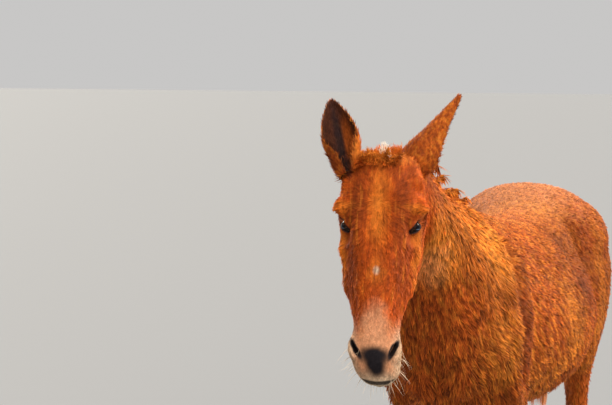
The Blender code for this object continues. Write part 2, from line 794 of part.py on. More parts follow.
# The line of the mouth: down the face and out of it, from one corner round the lips to the other
MOUTH_CORNER = (0.462, -0.088)
MOUTH_FRONT = (0.560, -0.082)
MOUTH_GROOVE = 0.0028
MOUTH_STEPS = 20
# How far ahead of the lips, and to each side, the line is looked for from
MOUTH_REACH = (0.03, 0.09)


def mouth_cutter(head):
    """A groove laid on the surface of the muzzle along the line of the mouth."""
    surface = BVHTree.FromObject(head, bpy.context.evaluated_depsgraph_get())
    corner, front = Vector((*MOUTH_CORNER, 0)), Vector((*MOUTH_FRONT, 0))
    line = []
    for i in range(MOUTH_STEPS + 1):
        angle = math.pi * (i / MOUTH_STEPS - 0.5)
        place = corner.lerp(front, math.cos(angle) ** 0.6)
        middle = in_head(place.x * 0.88 + 0.036, 0, place.y)
        outside = in_head(place.x + MOUTH_REACH[0] * math.cos(angle),
                          MOUTH_REACH[1] * math.sin(angle), place.y)
        inwards = (middle - outside).normalized()
        line.append((surface.ray_cast(outside, inwards)[0], inwards))
    tube = []
    for i, (point, inwards) in enumerate(line):
        near, far = line[max(i - 1, 0)][0], line[min(i + 1, MOUTH_STEPS)][0]
        along = (far - near).normalized()
        side = along.cross(inwards).normalized()
        tube.append(egg_ring(point, side, along.cross(side), MOUTH_GROOVE, MOUTH_GROOVE * 1.6,
                             MOUTH_GROOVE * 1.6, 2.0, 2.0, 6))
    return closed_loft("mouth_groove", tube)


def ball(name, centre, radius, finish=None):
    """A plain ball."""
    form = bmesh.new()
    bmesh.ops.create_uvsphere(form, u_segments=16, v_segments=10, radius=radius)
    bmesh.ops.translate(form, vec=centre, verts=form.verts)
    mesh = bpy.data.meshes.new(name)
    form.to_mesh(mesh)
    form.free()
    return to_object(name, mesh, finish)


def make_hooves():
    """Four hooves, narrow and upright, flat below and cut to the coronet's plane above."""
    made = []
    for hoof in HOOVES:
        axes = coronet_axes()
        for word, side in SIDES:
            coronet = Vector((hoof.x * side, hoof.coronet_y, hoof.coronet_z))
            sole = Vector((hoof.x * side, hoof.y, 0))
            rings = []
            for share in (0.0, 0.25, 0.6, 0.9, 1.0):
                centre = sole.lerp(coronet, share)
                along = WORLD_AXES[1].lerp(axes[1], share).normalized()
                size = 1 + (CORONET_SHARE - 1) * min(1.0, share / 0.9)
                rings.append(
                    egg_ring(centre, WORLD_AXES[0], -along, hoof.half_width * size,
                             hoof.half_length * size, hoof.half_length * size * 0.88, 2.0, 2.6, 20)
                )
            thing = closed_loft(f"hoof_{hoof.name}_{word}", rings)
            thing.data.materials.append(material("horn"))
            made.append(thing)
    return made


# Ears: root and tip in the head's own directions, where the cup opens, and its half width
Ear = namedtuple("Ear", "word root tip opening half_width sections")
# Half width as a share of the widest, and half the angle that the cup wraps, from root to tip
EarSection = namedtuple("EarSection", "along width wrap")
UPRIGHT_EAR = (
    EarSection(0.00, 0.50, 165.0),
    EarSection(0.12, 0.68, 148.0),
    EarSection(0.28, 0.90, 118.0),
    EarSection(0.45, 0.93, 94.0),
    EarSection(0.62, 0.83, 82.0),
    EarSection(0.78, 0.62, 72.0),
    EarSection(0.91, 0.36, 62.0),
    EarSection(1.00, 0.10, 50.0),
)
SWUNG_EAR = (
    EarSection(0.00, 0.50, 165.0),
    EarSection(0.14, 0.68, 142.0),
    EarSection(0.28, 0.80, 124.0),
    EarSection(0.45, 0.60, 116.0),
    EarSection(0.62, 0.40, 108.0),
    EarSection(0.78, 0.27, 98.0),
    EarSection(0.91, 0.17, 84.0),
    EarSection(1.00, 0.08, 60.0),
)
EARS = (
    Ear("right", (0.040, -0.088, -0.052), (-0.162, -0.146, -0.095), (0.0, 0.10, 0.99), 0.046, UPRIGHT_EAR),
    Ear("left", (0.032, 0.042, -0.070), (-0.184, 0.180, -0.120), (0.25, 0.45, -0.85), 0.052, SWUNG_EAR),
)
EAR_WALL = 0.0045


def ear_sheet(ear, rows=14, columns=11):
    """The open scoop of an ear, before it gets its thickness."""
    root, tip = in_head(*ear.root), in_head(*ear.tip)
    axis = (tip - root).normalized()
    axes = head_axes()
    mouth = sum((axes[i] * ear.opening[i] for i in range(3)), Vector())
    mouth = (mouth - axis * mouth.dot(axis)).normalized()
    across = axis.cross(mouth)
    form = bmesh.new()
    grid = []
    for along, width, wrap in smooth_table(ear.sections, rows):
        half_angle = math.radians(wrap)
        radius = width * ear.half_width / math.sin(min(half_angle, math.pi / 2))
        centre = root.lerp(tip, along)
        line = []
        for column in range(columns):
            turn = half_angle * (2 * column / (columns - 1) - 1)
            line.append(
                form.verts.new(centre + across * (radius * math.sin(turn))
                               + mouth * (radius * (0.55 - math.cos(turn))))
            )
        grid.append(line)
    for low, high in zip(grid, grid[1:]):
        for i in range(columns - 1):
            form.faces.new((low[i], low[i + 1], high[i + 1], high[i]))
    mesh = bpy.data.meshes.new(f"ear_{ear.word}")
    form.to_mesh(mesh)
    form.free()
    return to_object(f"ear_{ear.word}", mesh)


def make_ears(carriers):
    """Two cupped ears, trimmed at the root to what they grow from."""
    made = []
    for ear in EARS:
        thing = ear_sheet(ear)
        wall = thing.modifiers.new("wall", "SOLIDIFY")
        wall.thickness = EAR_WALL
        wall.offset = 0
        apply_modifiers(thing)
        face_outwards(thing.data)
        for carrier in carriers:
            cut_by(thing, [offset_copy(carrier, GAP)])
        keep_largest(thing.data)
        thing.data.materials.clear()
        thing.data.materials.append(material("ear"))
        made.append(thing)
    return made


def face_outwards(mesh):
    """Turns the faces of a closed mesh outwards."""
    form = bmesh.new()
    form.from_mesh(mesh)
    bmesh.ops.recalc_face_normals(form, faces=form.faces)
    form.to_mesh(mesh)
    form.free()


# Hair as flat tapered locks. Shares of a lock's full width from its root to its tip
LOCK_TAPER = (0.75, 1.0, 0.85, 0.55, 0.12)
LOCK_SIDES = 5


def lock(name, root, lie, face, length, half_width, bend):
    """A flat tapered lock that leaves its root along lie, broad to face, and bends as it goes."""
    steps = len(LOCK_TAPER) - 1
    path = []
    for i in range(steps + 1):
        share = i / steps
        path.append(root + lie * (length * share) + bend * share**2)
    rings = []
    for i, taper in enumerate(LOCK_TAPER):
        along = (path[min(i + 1, steps)] - path[max(i - 1, 0)]).normalized()
        side = along.cross(face).normalized()
        rings.append(
            egg_ring(path[i], side, side.cross(along), half_width * taper, half_width * taper * 0.42,
                     half_width * taper * 0.42, 2.0, 2.0, LOCK_SIDES)
        )
    return closed_loft(name, rings)


def grow(carrier, locks):
    """Fuses locks to the piece that they grow from."""
    cut_by(carrier, locks, "UNION")
    mend(carrier.data)
    keep_largest(carrier.data)


# Mane: how many locks, where along the crest they start and end, and their length and width
MANE_LOCKS = 26
MANE_SPAN = (-0.520, -0.950)
MANE_LENGTH = (0.065, 0.100)
MANE_HALF_WIDTH = 0.020


def crest_at(y):
    """The place on the crest of the neck at a distance along the body, and its slope there."""
    rows = smooth_table(NECK, 60)
    i = int(np.argmin(abs(rows[:, 1] - y)))
    near, far = rows[max(i - 1, 0)], rows[min(i + 1, len(rows) - 1)]
    slope = Vector((0, far[1] - near[1], far[2] - near[2])).normalized()
    return Vector((0, rows[i][1], rows[i][2])), slope


def grow_mane(neck):
    """A short rough mane that falls to the right of the neck, some of it upright."""
    chance = random.Random(11)
    locks = []
    for i in range(MANE_LOCKS):
        y = MANE_SPAN[0] + (MANE_SPAN[1] - MANE_SPAN[0]) * (i + chance.uniform(0.3, 0.7)) / MANE_LOCKS
        crest, slope = crest_at(y)
        up = WORLD_AXES[0].cross(slope)
        up *= math.copysign(1, up.z)
        falling = chance.uniform(0.5, 1.0) * (-1 if i % 3 else 0.5)
        lie = (up * 0.8 + WORLD_AXES[0] * falling - slope * chance.uniform(0.0, 0.5)).normalized()
        length = chance.uniform(*MANE_LENGTH)
        bend = WORLD_AXES[0] * (falling * 0.020) - up * (0.070 * abs(falling))
        face = WORLD_AXES[0] * falling + up * 0.4
        locks.append(lock(f"mane_{i}", crest - up * 0.016, lie, face, length, MANE_HALF_WIDTH, bend))
    grow(neck, locks)


# Forelock: places down the face and to the left, with the lean of each lock
FORELOCK_LOCKS = 7
FORELOCK_SPREAD = 0.030
FORELOCK_LENGTH = (0.042, 0.060)


def grow_forelock(head):
    """A tuft of short locks between the ears, fanned out over the forehead."""
    chance = random.Random(5)
    down, left, out = head_axes()
    locks = []
    for i in range(FORELOCK_LOCKS):
        share = 2 * i / (FORELOCK_LOCKS - 1) - 1
        root = in_head(0.022 + chance.uniform(-0.004, 0.006), FORELOCK_SPREAD * share, -0.020)
        lie = (out * 0.9 - down * chance.uniform(0.2, 0.7) + left * share * 0.5).normalized()
        bend = down * chance.uniform(0.010, 0.026) + out * 0.004
        locks.append(lock(f"forelock_{i}", root, lie, out - down * 0.4, chance.uniform(*FORELOCK_LENGTH),
                          0.011, bend))
    grow(head, locks)


# The tail's fleshy dock: place along the body, height, half width, half thickness
TailSection = namedtuple("TailSection", "along y z half_width half_thickness")
DOCK = (
    TailSection(0.0, 0.600, 1.240, 0.030, 0.026),
    TailSection(1.0, 0.680, 1.234, 0.032, 0.028),
    TailSection(2.0, 0.735, 1.185, 0.032, 0.028),
    TailSection(3.0, 0.762, 1.100, 0.036, 0.028),
    TailSection(4.0, 0.772, 1.000, 0.040, 0.028),
    TailSection(5.0, 0.772, 0.900, 0.030, 0.022),
    TailSection(5.6, 0.770, 0.840, 0.010, 0.010),
)
TAIL_TIERS = ((1.180, 5), (1.110, 6), (1.040, 7), (0.970, 7))
TAIL_TIP = Vector((0, 0.752, 0.390))
TAIL_HALF_WIDTH = 0.030


def make_tail(carriers):
    """The dock, and locks that hang from it in tiers to a soft point at the hocks."""
    rows = smooth_table(DOCK, 18)
    rings = []
    for i, (_, y, z, half_width, half_thickness) in enumerate(rows):
        near, far = rows[max(i - 1, 0)], rows[min(i + 1, len(rows) - 1)]
        along = Vector((0, far[1] - near[1], far[2] - near[2])).normalized()
        out = along.cross(WORLD_AXES[0]).normalized()
        rings.append(
            egg_ring(Vector((0, y, z)), WORLD_AXES[0], out, half_width,
                     half_thickness, half_thickness, 2.0, 2.0, 12)
        )
    tail = closed_loft("tail", rings)
    for carrier in carriers:
        cut_by(tail, [offset_copy(carrier, GAP)])
    keep_largest(tail.data)
    grow(tail, tail_locks(rows))
    tail.data.materials.clear()
    tail.data.materials.append(material("tail"))
    return tail


def tail_locks(rows):
    """Locks around the dock, lower tiers longer, all closing in towards the tip."""
    chance = random.Random(3)
    locks = []
    for height, count in TAIL_TIERS:
        row = rows[int(np.argmin(abs(rows[:, 2] - height)))]
        for i in range(count):
            turn = math.radians(-115 + 230 * (i + chance.uniform(0.3, 0.7)) / count)
            away = Vector((math.sin(turn), math.cos(turn), 0))
            root = Vector((0, row[1], row[2])) + Vector((away.x * row[3], away.y * row[4], 0)) * 0.45
            end = TAIL_TIP + Vector((away.x * 0.060, away.y * 0.040, chance.uniform(0.0, 0.24)))
            bend = -away * 0.075
            reach = end - bend - root
            locks.append(lock(f"tail_lock_{height}_{i}", root, reach.normalized(), away, reach.length,
                              TAIL_HALF_WIDTH * chance.uniform(0.8, 1.15), bend))
    return locks


def settle_origin(things):
    """Moves the whole animal so that the origin is at the middle of its box, on the ground."""
    corners = np.array([vertex.co for thing in things for vertex in thing.data.vertices])
    low, high = corners.min(axis=0), corners.max(axis=0)
    middle = (low + high) / 2
    shift = Matrix.Translation((-middle[0], -middle[1], 0))
    for thing in things:
        thing.data.transform(shift)
    print("moved by", [round(-float(middle[i]), 5) for i in range(2)])


def main():
    """Builds the mule."""
    parts = part_flesh(fused_flesh())
    eyes = make_eyes(parts["head"])
    cut_by(parts["head"], [mouth_cutter(parts["head"]), *nostril_cutters()])
    keep_largest(parts["head"].data)
    ears = make_ears([parts["head"], parts["neck"]])
    grow_mane(parts["neck"])
    grow_forelock(parts["head"])
    tail = make_tail([parts["torso"]])
    things = [*parts.values(), *eyes, *ears, *make_hooves(), tail]
    settle_origin(things)
    for thing in things:
        thing.data.shade_smooth()
        thing.data.set_sharp_from_angle(angle=SHARP_ANGLE)


clear_scene()
WORK = new_collection("mule")
if __name__ == "__main__":
    main()
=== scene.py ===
"""A chestnut mule in its winter coat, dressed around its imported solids.

One skin stands for all the flesh. Tufts of hair lie over it as joined meshes, region by region, with
mane, forelock and tail as longer strands. Eyes and hooves are pieces of their own. Lengths are metres,
the animal faces -Y and its left side is +X.
"""

import json
import logging
import math
from collections.abc import Callable, Iterator, Sequence
from contextlib import contextmanager
from dataclasses import dataclass, field, replace
from enum import Enum

import bpy
import numpy as np
from mathutils import Matrix, Vector
from mathutils.bvhtree import BVHTree
from mathutils.kdtree import KDTree

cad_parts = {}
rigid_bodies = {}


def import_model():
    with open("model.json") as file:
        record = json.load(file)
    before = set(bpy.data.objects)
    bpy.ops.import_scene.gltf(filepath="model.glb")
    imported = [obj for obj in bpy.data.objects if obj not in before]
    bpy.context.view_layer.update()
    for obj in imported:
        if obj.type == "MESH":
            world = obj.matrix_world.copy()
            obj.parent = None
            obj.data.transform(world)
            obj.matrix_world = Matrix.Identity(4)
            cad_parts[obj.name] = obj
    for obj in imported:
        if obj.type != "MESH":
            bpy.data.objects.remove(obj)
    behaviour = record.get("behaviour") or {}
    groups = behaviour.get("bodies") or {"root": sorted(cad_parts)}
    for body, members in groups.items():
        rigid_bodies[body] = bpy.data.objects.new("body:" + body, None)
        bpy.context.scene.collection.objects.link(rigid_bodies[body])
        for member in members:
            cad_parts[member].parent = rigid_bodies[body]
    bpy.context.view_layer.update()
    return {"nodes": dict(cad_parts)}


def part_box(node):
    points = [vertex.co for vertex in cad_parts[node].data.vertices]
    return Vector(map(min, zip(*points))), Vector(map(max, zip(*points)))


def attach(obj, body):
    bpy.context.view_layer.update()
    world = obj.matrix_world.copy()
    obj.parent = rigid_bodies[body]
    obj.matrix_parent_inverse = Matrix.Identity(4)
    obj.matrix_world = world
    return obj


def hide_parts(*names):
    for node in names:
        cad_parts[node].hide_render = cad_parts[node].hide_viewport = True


log = logging.getLogger("mule")
Array = np.ndarray
Object = bpy.types.Object
Mesh = bpy.types.Mesh
Material = bpy.types.Material
Socket = bpy.types.NodeSocket
Triple = tuple[float, float, float]
Range = tuple[float, float]
UP = np.array((0.0, 0.0, 1.0))
BACK = np.array((0.0, 1.0, 0.0))
SIDES = (("left", 1), ("right", -1))
BAKE_MAP = "OFBake"
BAKE_PATCH = 0.003
BAKE_START = 0.01
BAKE_SPAN = 0.97
WELD_DISTANCE = 0.00001
MUZZLE_FRONT = -0.7
LIPS = (0.47, 0.575)
LIP_LEAN = 0.009


def unit(rows: Array) -> Array:
    """Rows of vectors brought to length one."""
    return rows / np.maximum(np.linalg.norm(rows, axis=-1, keepdims=True), 1e-12)


def soft(value: Array, low: float, high: float) -> Array:
    """A smooth step from 0 at low to 1 at high."""
    share = np.clip((value - low) / (high - low), 0, 1)
    return share * share * (3 - 2 * share)


def dot(first: Array, second: Array) -> Array:
    """Row by row dot products."""
    return (first * second).sum(axis=-1)


def along_skin(ways: Array, faces: Array) -> Array:
    """Directions with the part that leaves the skin taken away."""
    return ways - faces * dot(ways, faces)[:, None]


def activate(thing: Object) -> None:
    """Makes one object the only one selected, and active."""
    bpy.ops.object.select_all(action="DESELECT")
    thing.select_set(True)
    bpy.context.view_layer.objects.active = thing


def modify(thing: Object, kind: str, **settings: object) -> None:
    """Adds a modifier with its settings and applies it.

    Args:
        thing: The object that is changed.
        kind: Blender's name for the modifier.
        settings: What is set on it.
    """
    activate(thing)
    modifier = thing.modifiers.new(kind.lower(), kind)
    for name, value in settings.items():
        setattr(modifier, name, value)
    bpy.ops.object.modifier_apply(modifier=modifier.name)


def places(mesh: Mesh, kind: str = "co") -> Array:
    """The places of a mesh's vertices, or their normals, as rows."""
    flat = np.empty(len(mesh.vertices) * 3, np.float32)
    mesh.vertices.foreach_get(kind, flat)
    return flat.reshape(-1, 3).astype(float)


def surface(thing: Object) -> tuple[Array, Array]:
    """The places and normals of an object's vertices as rows."""
    return places(thing.data), places(thing.data, "normal")


def move_to(mesh: Mesh, rows: Array) -> None:
    """Puts the vertices of a mesh at the rows given."""
    mesh.vertices.foreach_set("co", rows.astype(np.float32).ravel())
    mesh.update()


def store(mesh: Mesh, name: str, values: Array) -> None:
    """Keeps a number or a row of three for every vertex of a mesh.

    Args:
        mesh: The mesh.
        name: What a material reads it by.
        values: The numbers or rows.
    """
    kind, key = ("FLOAT", "value") if values.ndim == 1 else ("FLOAT_VECTOR", "vector")
    made = mesh.attributes.new(name, kind, "POINT")
    made.data.foreach_set(key, values.astype(np.float32).ravel())


def stored(mesh: Mesh, name: str) -> Array:
    """The number kept for every vertex of a mesh."""
    values = np.empty(len(mesh.vertices), np.float32)
    mesh.attributes[name].data.foreach_get("value", values)
    return values


def triangles(mesh: Mesh) -> Array:
    """The triangles of a mesh as rows of three vertex numbers."""
    mesh.calc_loop_triangles()
    flat = np.empty(len(mesh.loop_triangles) * 3, np.int32)
    mesh.loop_triangles.foreach_get("vertices", flat)
    return flat.reshape(-1, 3)


def new_object(name: str, mesh: Mesh) -> Object:
    """An object for a mesh, linked to the scene."""
    thing = bpy.data.objects.new(name, mesh)
    bpy.context.scene.collection.objects.link(thing)
    return thing


@contextmanager
def editing(thing: Object) -> Iterator[None]:
    """Edit mode on one object for as long as the block lasts."""
    activate(thing)
    bpy.ops.object.mode_set(mode="EDIT")
    yield
    bpy.ops.object.mode_set(mode="OBJECT")


def added(make: Callable[..., set[str]], **settings: object) -> Object:
    """Runs an operator that adds an object, with nothing else selected, and hands over what it adds."""
    bpy.ops.object.select_all(action="DESELECT")
    make(**settings)
    return bpy.context.object


def pick(thing: Object, kind: str, chosen: Array) -> None:
    """Selects the chosen vertices or faces of an object and no others.

    Args:
        thing: The object.
        kind: VERT or FACE.
        chosen: True for each one that is selected.
    """
    with editing(thing):
        bpy.ops.mesh.select_mode(type=kind)
        bpy.ops.mesh.select_all(action="DESELECT")
    rows = thing.data.vertices if kind == "VERT" else thing.data.polygons
    rows.foreach_set("select", chosen)


def solid_copy(node: Object, name: str) -> Object:
    """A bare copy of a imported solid, with its corners welded."""
    copy = new_object(name, node.data.copy())
    copy.data.materials.clear()
    with editing(copy):
        bpy.ops.mesh.select_all(action="SELECT")
        bpy.ops.mesh.remove_doubles(threshold=WELD_DISTANCE)
    return copy


def join(forms: Sequence[Object]) -> Object:
    """Joins all the forms into the first."""
    activate(forms[0])
    for form in forms[1:]:
        form.select_set(True)
    bpy.ops.object.join()
    return forms[0]


def hand_over(piece: Object, finish: Material, slot: str, *nodes: str) -> Object:
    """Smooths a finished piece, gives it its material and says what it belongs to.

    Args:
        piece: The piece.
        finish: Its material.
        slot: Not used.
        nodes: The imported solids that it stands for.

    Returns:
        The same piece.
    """
    activate(piece)
    bpy.ops.object.shade_smooth()
    piece.data.materials.append(finish)
    if nodes:
        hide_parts(*nodes)
    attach(piece, "root")
    return piece


def tree_of(points: Array) -> KDTree:
    """A tree that finds the nearest of some points."""
    tree = KDTree(len(points))
    for i, point in enumerate(points.tolist()):
        tree.insert(point, i)
    tree.balance()
    return tree


def nearest(points: Array, centres: Array) -> Array:
    """For each point, the number of the centre closest to it."""
    tree = tree_of(centres)
    return np.array([tree.find(point)[1] for point in points.tolist()])


class Waves:
    """A smooth random field, about -1 to 1, made of a few waves."""

    SPREAD = (0.6, 1.5)

    def __init__(self, seed: int, size: float, count: int = 7) -> None:
        """Draws the waves.

        Args:
            seed: Fixes the draw.
            size: Rough distance from one crest to the next.
            count: How many waves are summed.
        """
        chance = np.random.default_rng(seed)
        self.ways = unit(chance.normal(size=(count, 3))) * (2 * math.pi / size)
        self.ways *= chance.uniform(*self.SPREAD, (count, 1))
        self.starts = chance.uniform(0, 2 * math.pi, count)

    def at(self, points: Array) -> Array:
        """The field's value at each point."""
        return np.sin(points @ self.ways.T + self.starts).sum(axis=1) / math.sqrt(len(self.starts))


class Region(Enum):
    """The parts of the animal that have a coat of their own."""

    HEAD = "head"
    NECK = "neck"
    BARREL = "barrel"
    RUMP = "rump"
    FORELEGS = "forelegs"
    HINDLEGS = "hindlegs"
    EARS = "ears"


@dataclass(frozen=True)
class HeadFrame:
    """The head's own directions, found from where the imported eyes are."""

    poll: Array
    down: Array
    left: Array
    out: Array

    EYE_PLACE = (0.18, 0.076, -0.052)
    CORE = (0.0, 0.0, -0.1)
    YAW = math.radians(12)
    TILT = math.radians(21)

    @classmethod
    def from_eyes(cls) -> "HeadFrame":
        """Reads both eyes' boxes and works out the poll and the directions."""
        ahead = np.array((math.sin(cls.YAW), -math.cos(cls.YAW), 0.0))
        left = np.array((math.cos(cls.YAW), math.sin(cls.YAW), 0.0))
        down = ahead * math.sin(cls.TILT) - UP * math.cos(cls.TILT)
        out = ahead * math.cos(cls.TILT) + UP * math.sin(cls.TILT)
        middle = sum(cls.eye_centre(word) for word, _ in SIDES) / 2
        poll = middle - down * cls.EYE_PLACE[0] - out * cls.EYE_PLACE[2]
        return cls(poll, down, left, out)

    @staticmethod
    def eye_centre(word: str) -> Array:
        """The middle of a packed eyeball."""
        low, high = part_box(f"eye_{word}")
        return np.array((low + high) / 2)

    def from_eye(self, word: str, points: Array) -> Array:
        """How far each point is from the middle of an eye."""
        return np.linalg.norm(points - self.eye_centre(word), axis=1)

    def rolled(self, roots: Array) -> Array:
        """Places on the head's bake map."""
        return unwrapped(roots, self.at(*self.CORE), self.down, self.out)

    def at(self, down: float, left: float, out: float) -> Array:
        """A place given down the face, to the left and out of it."""
        return self.poll + self.way(down, left, out)

    def way(self, down: float, left: float, out: float) -> Array:
        """A direction given in the head's own directions."""
        return self.down * down + self.left * left + self.out * out

    def axes(self) -> Array:
        """The three directions as rows."""
        return np.array((self.down, self.left, self.out))

    def read(self, points: Array) -> Array:
        """Points as rows of down, left and out."""
        return (points - self.poll) @ self.axes().T

    def placed(self, rows: Array) -> Array:
        """Rows of down, left and out as points."""
        return self.poll + rows @ self.axes()


@dataclass(frozen=True)
class Ear:
    """An ear's line and the way that its cup opens, in the head's own directions."""

    word: str
    root: Triple
    tip: Triple
    opening: Triple
    radius: float
    cup_depth: float = 0.55

    def axis(self, head: HeadFrame) -> tuple[Array, Array, Array]:
        """Root, direction to the tip, and the direction that the cup opens to."""
        root = head.at(*self.root)
        along = unit(head.at(*self.tip) - root)
        opening = head.way(*self.opening)
        return root, along, unit(opening - along * (opening @ along))

    def length(self) -> float:
        """From root to tip."""
        return float(np.linalg.norm(np.array(self.tip) - self.root))

    def inward(self, head: HeadFrame, points: Array, faces: Array) -> Array:
        """How far each point of the ear faces the inside of the cup, -1 to 1."""
        root, along, opening = self.axis(head)
        up = (points - root) @ along
        middle = root + up[:, None] * along + opening * (self.cup_depth * self.radius)
        return dot(unit(middle - points), faces)


EARS = (
    Ear("right", (0.04, -0.088, -0.052), (-0.162, -0.146, -0.095), (0.0, 0.1, 0.99), 0.046),
    Ear("left", (0.032, 0.042, -0.07), (-0.184, 0.18, -0.12), (0.25, 0.45, -0.85), 0.052),
)


DOCK = (
    (0.8, 1.222, 0.036),
    (0.88, 1.236, 0.034),
    (0.932, 1.205, 0.031),
    (0.962, 1.14, 0.028),
    (0.978, 1.05, 0.024),
    (0.984, 0.96, 0.018),
    (0.986, 0.88, 0.009),
)


@dataclass(frozen=True)
class Ripple:
    """A rounded ridge or groove round the eye, at some distance from the lids' edge."""

    height: float
    place: float
    width: float

    def at(self, margin: Array) -> Array:
        """Its height at each distance."""
        return self.height * np.exp(-(((margin - self.place) / self.width) ** 2))


@dataclass(frozen=True)
class EyeShape:
    """An eyeball and the almond of its lids, in the head's directions with left made positive."""

    place: Triple = HeadFrame.EYE_PLACE
    gaze: Triple = (0.08, 0.8, 0.58)
    slant: Triple = (0.8, -0.3, 0.52)
    radius: float = 0.0212
    lid: float = 0.0022
    half_width: float = 0.0222
    upper: float = 0.0094
    lower: float = 0.0066
    roundness: float = 1.7
    gap: float = 0.0006
    lid_edge: float = 0.0016
    tuck: float = 0.0014
    tuck_depth: float = 0.0045
    lid_end: Range = (0.003, 0.015)
    reach: float = 0.055
    upper_fold: Ripple = Ripple(0.0014, 0.0062, 0.0017)
    lower_fold: Ripple = Ripple(0.0009, 0.0046, 0.0015)
    swelling: Ripple = Ripple(0.0008, 0.0028, 0.0018)

    def axes(self) -> tuple[Array, Array, Array]:
        """Directions to the front corner, up across the lids, and out of the eye."""
        gaze = unit(np.array(self.gaze))
        along = unit(np.array(self.slant) - gaze * (gaze @ np.array(self.slant)))
        return along, np.cross(along, gaze), gaze

    def margin(self, along: Array, raised: Array) -> Array:
        """About how far places on the eyeball lie outside the edge of the lids."""
        height = np.where(raised > 0, self.upper, self.lower)
        power = self.roundness
        size = (np.abs(along) / self.half_width) ** power + (np.abs(raised) / height) ** power
        return (size ** (1 / power) - 1) * height

    def surface(self, reach: Array, margin: Array, raised: Array) -> Array:
        """How far from the middle of the eye the lids lie.

        Args:
            reach: How far away each place on the skin is now.
            margin: How far outside the lids' edge it is.
            raised: How high up the eye it is.

        Returns:
            How far away it should be.
        """
        cover = self.radius + self.gap + (self.lid - self.gap) * soft(margin, 0, self.lid_edge)
        above = soft(raised, -0.1, 0.2)
        fold = self.upper_fold.at(margin) * above
        fold += self.lower_fold.at(margin) * (1 - above)
        free = soft(margin, *self.lid_end)
        lids = cover * (1 - free) + np.maximum(reach, cover) * free + self.swelling.at(margin) - fold
        hidden = soft(-margin, 0, self.tuck)
        return lids * (1 - hidden) + (self.radius - self.tuck_depth) * hidden

    def read(self, rows: Array) -> tuple[Array, Array, Array, Array]:
        """For places on the head: distance from the eye, how far in front, lid margin, and height."""
        away = rows - np.array(self.place)
        reach = np.linalg.norm(away, axis=1) + 1e-9
        along, raised, ahead = (away @ np.array(self.axes()).T / reach[:, None]).T
        return reach, ahead, self.margin(along * self.radius, raised * self.radius), raised


@dataclass(frozen=True)
class CoatLengths:
    """How long the hair is on each part, and how much longer or shorter it gets where it changes."""

    face: float = 0.01
    jaw: float = 0.012
    poll: float = 0.008
    ear_root: float = 0.01
    muzzle: float = 0.0045
    round_eyes: float = 0.4
    neck: float = 0.026
    trunk: float = 0.019
    belly: float = 0.01
    back: float = -0.004
    chest: float = 0.01
    rump: float = -0.003
    leg: float = 0.0115
    thigh: float = 0.012
    behind_leg: float = 0.006


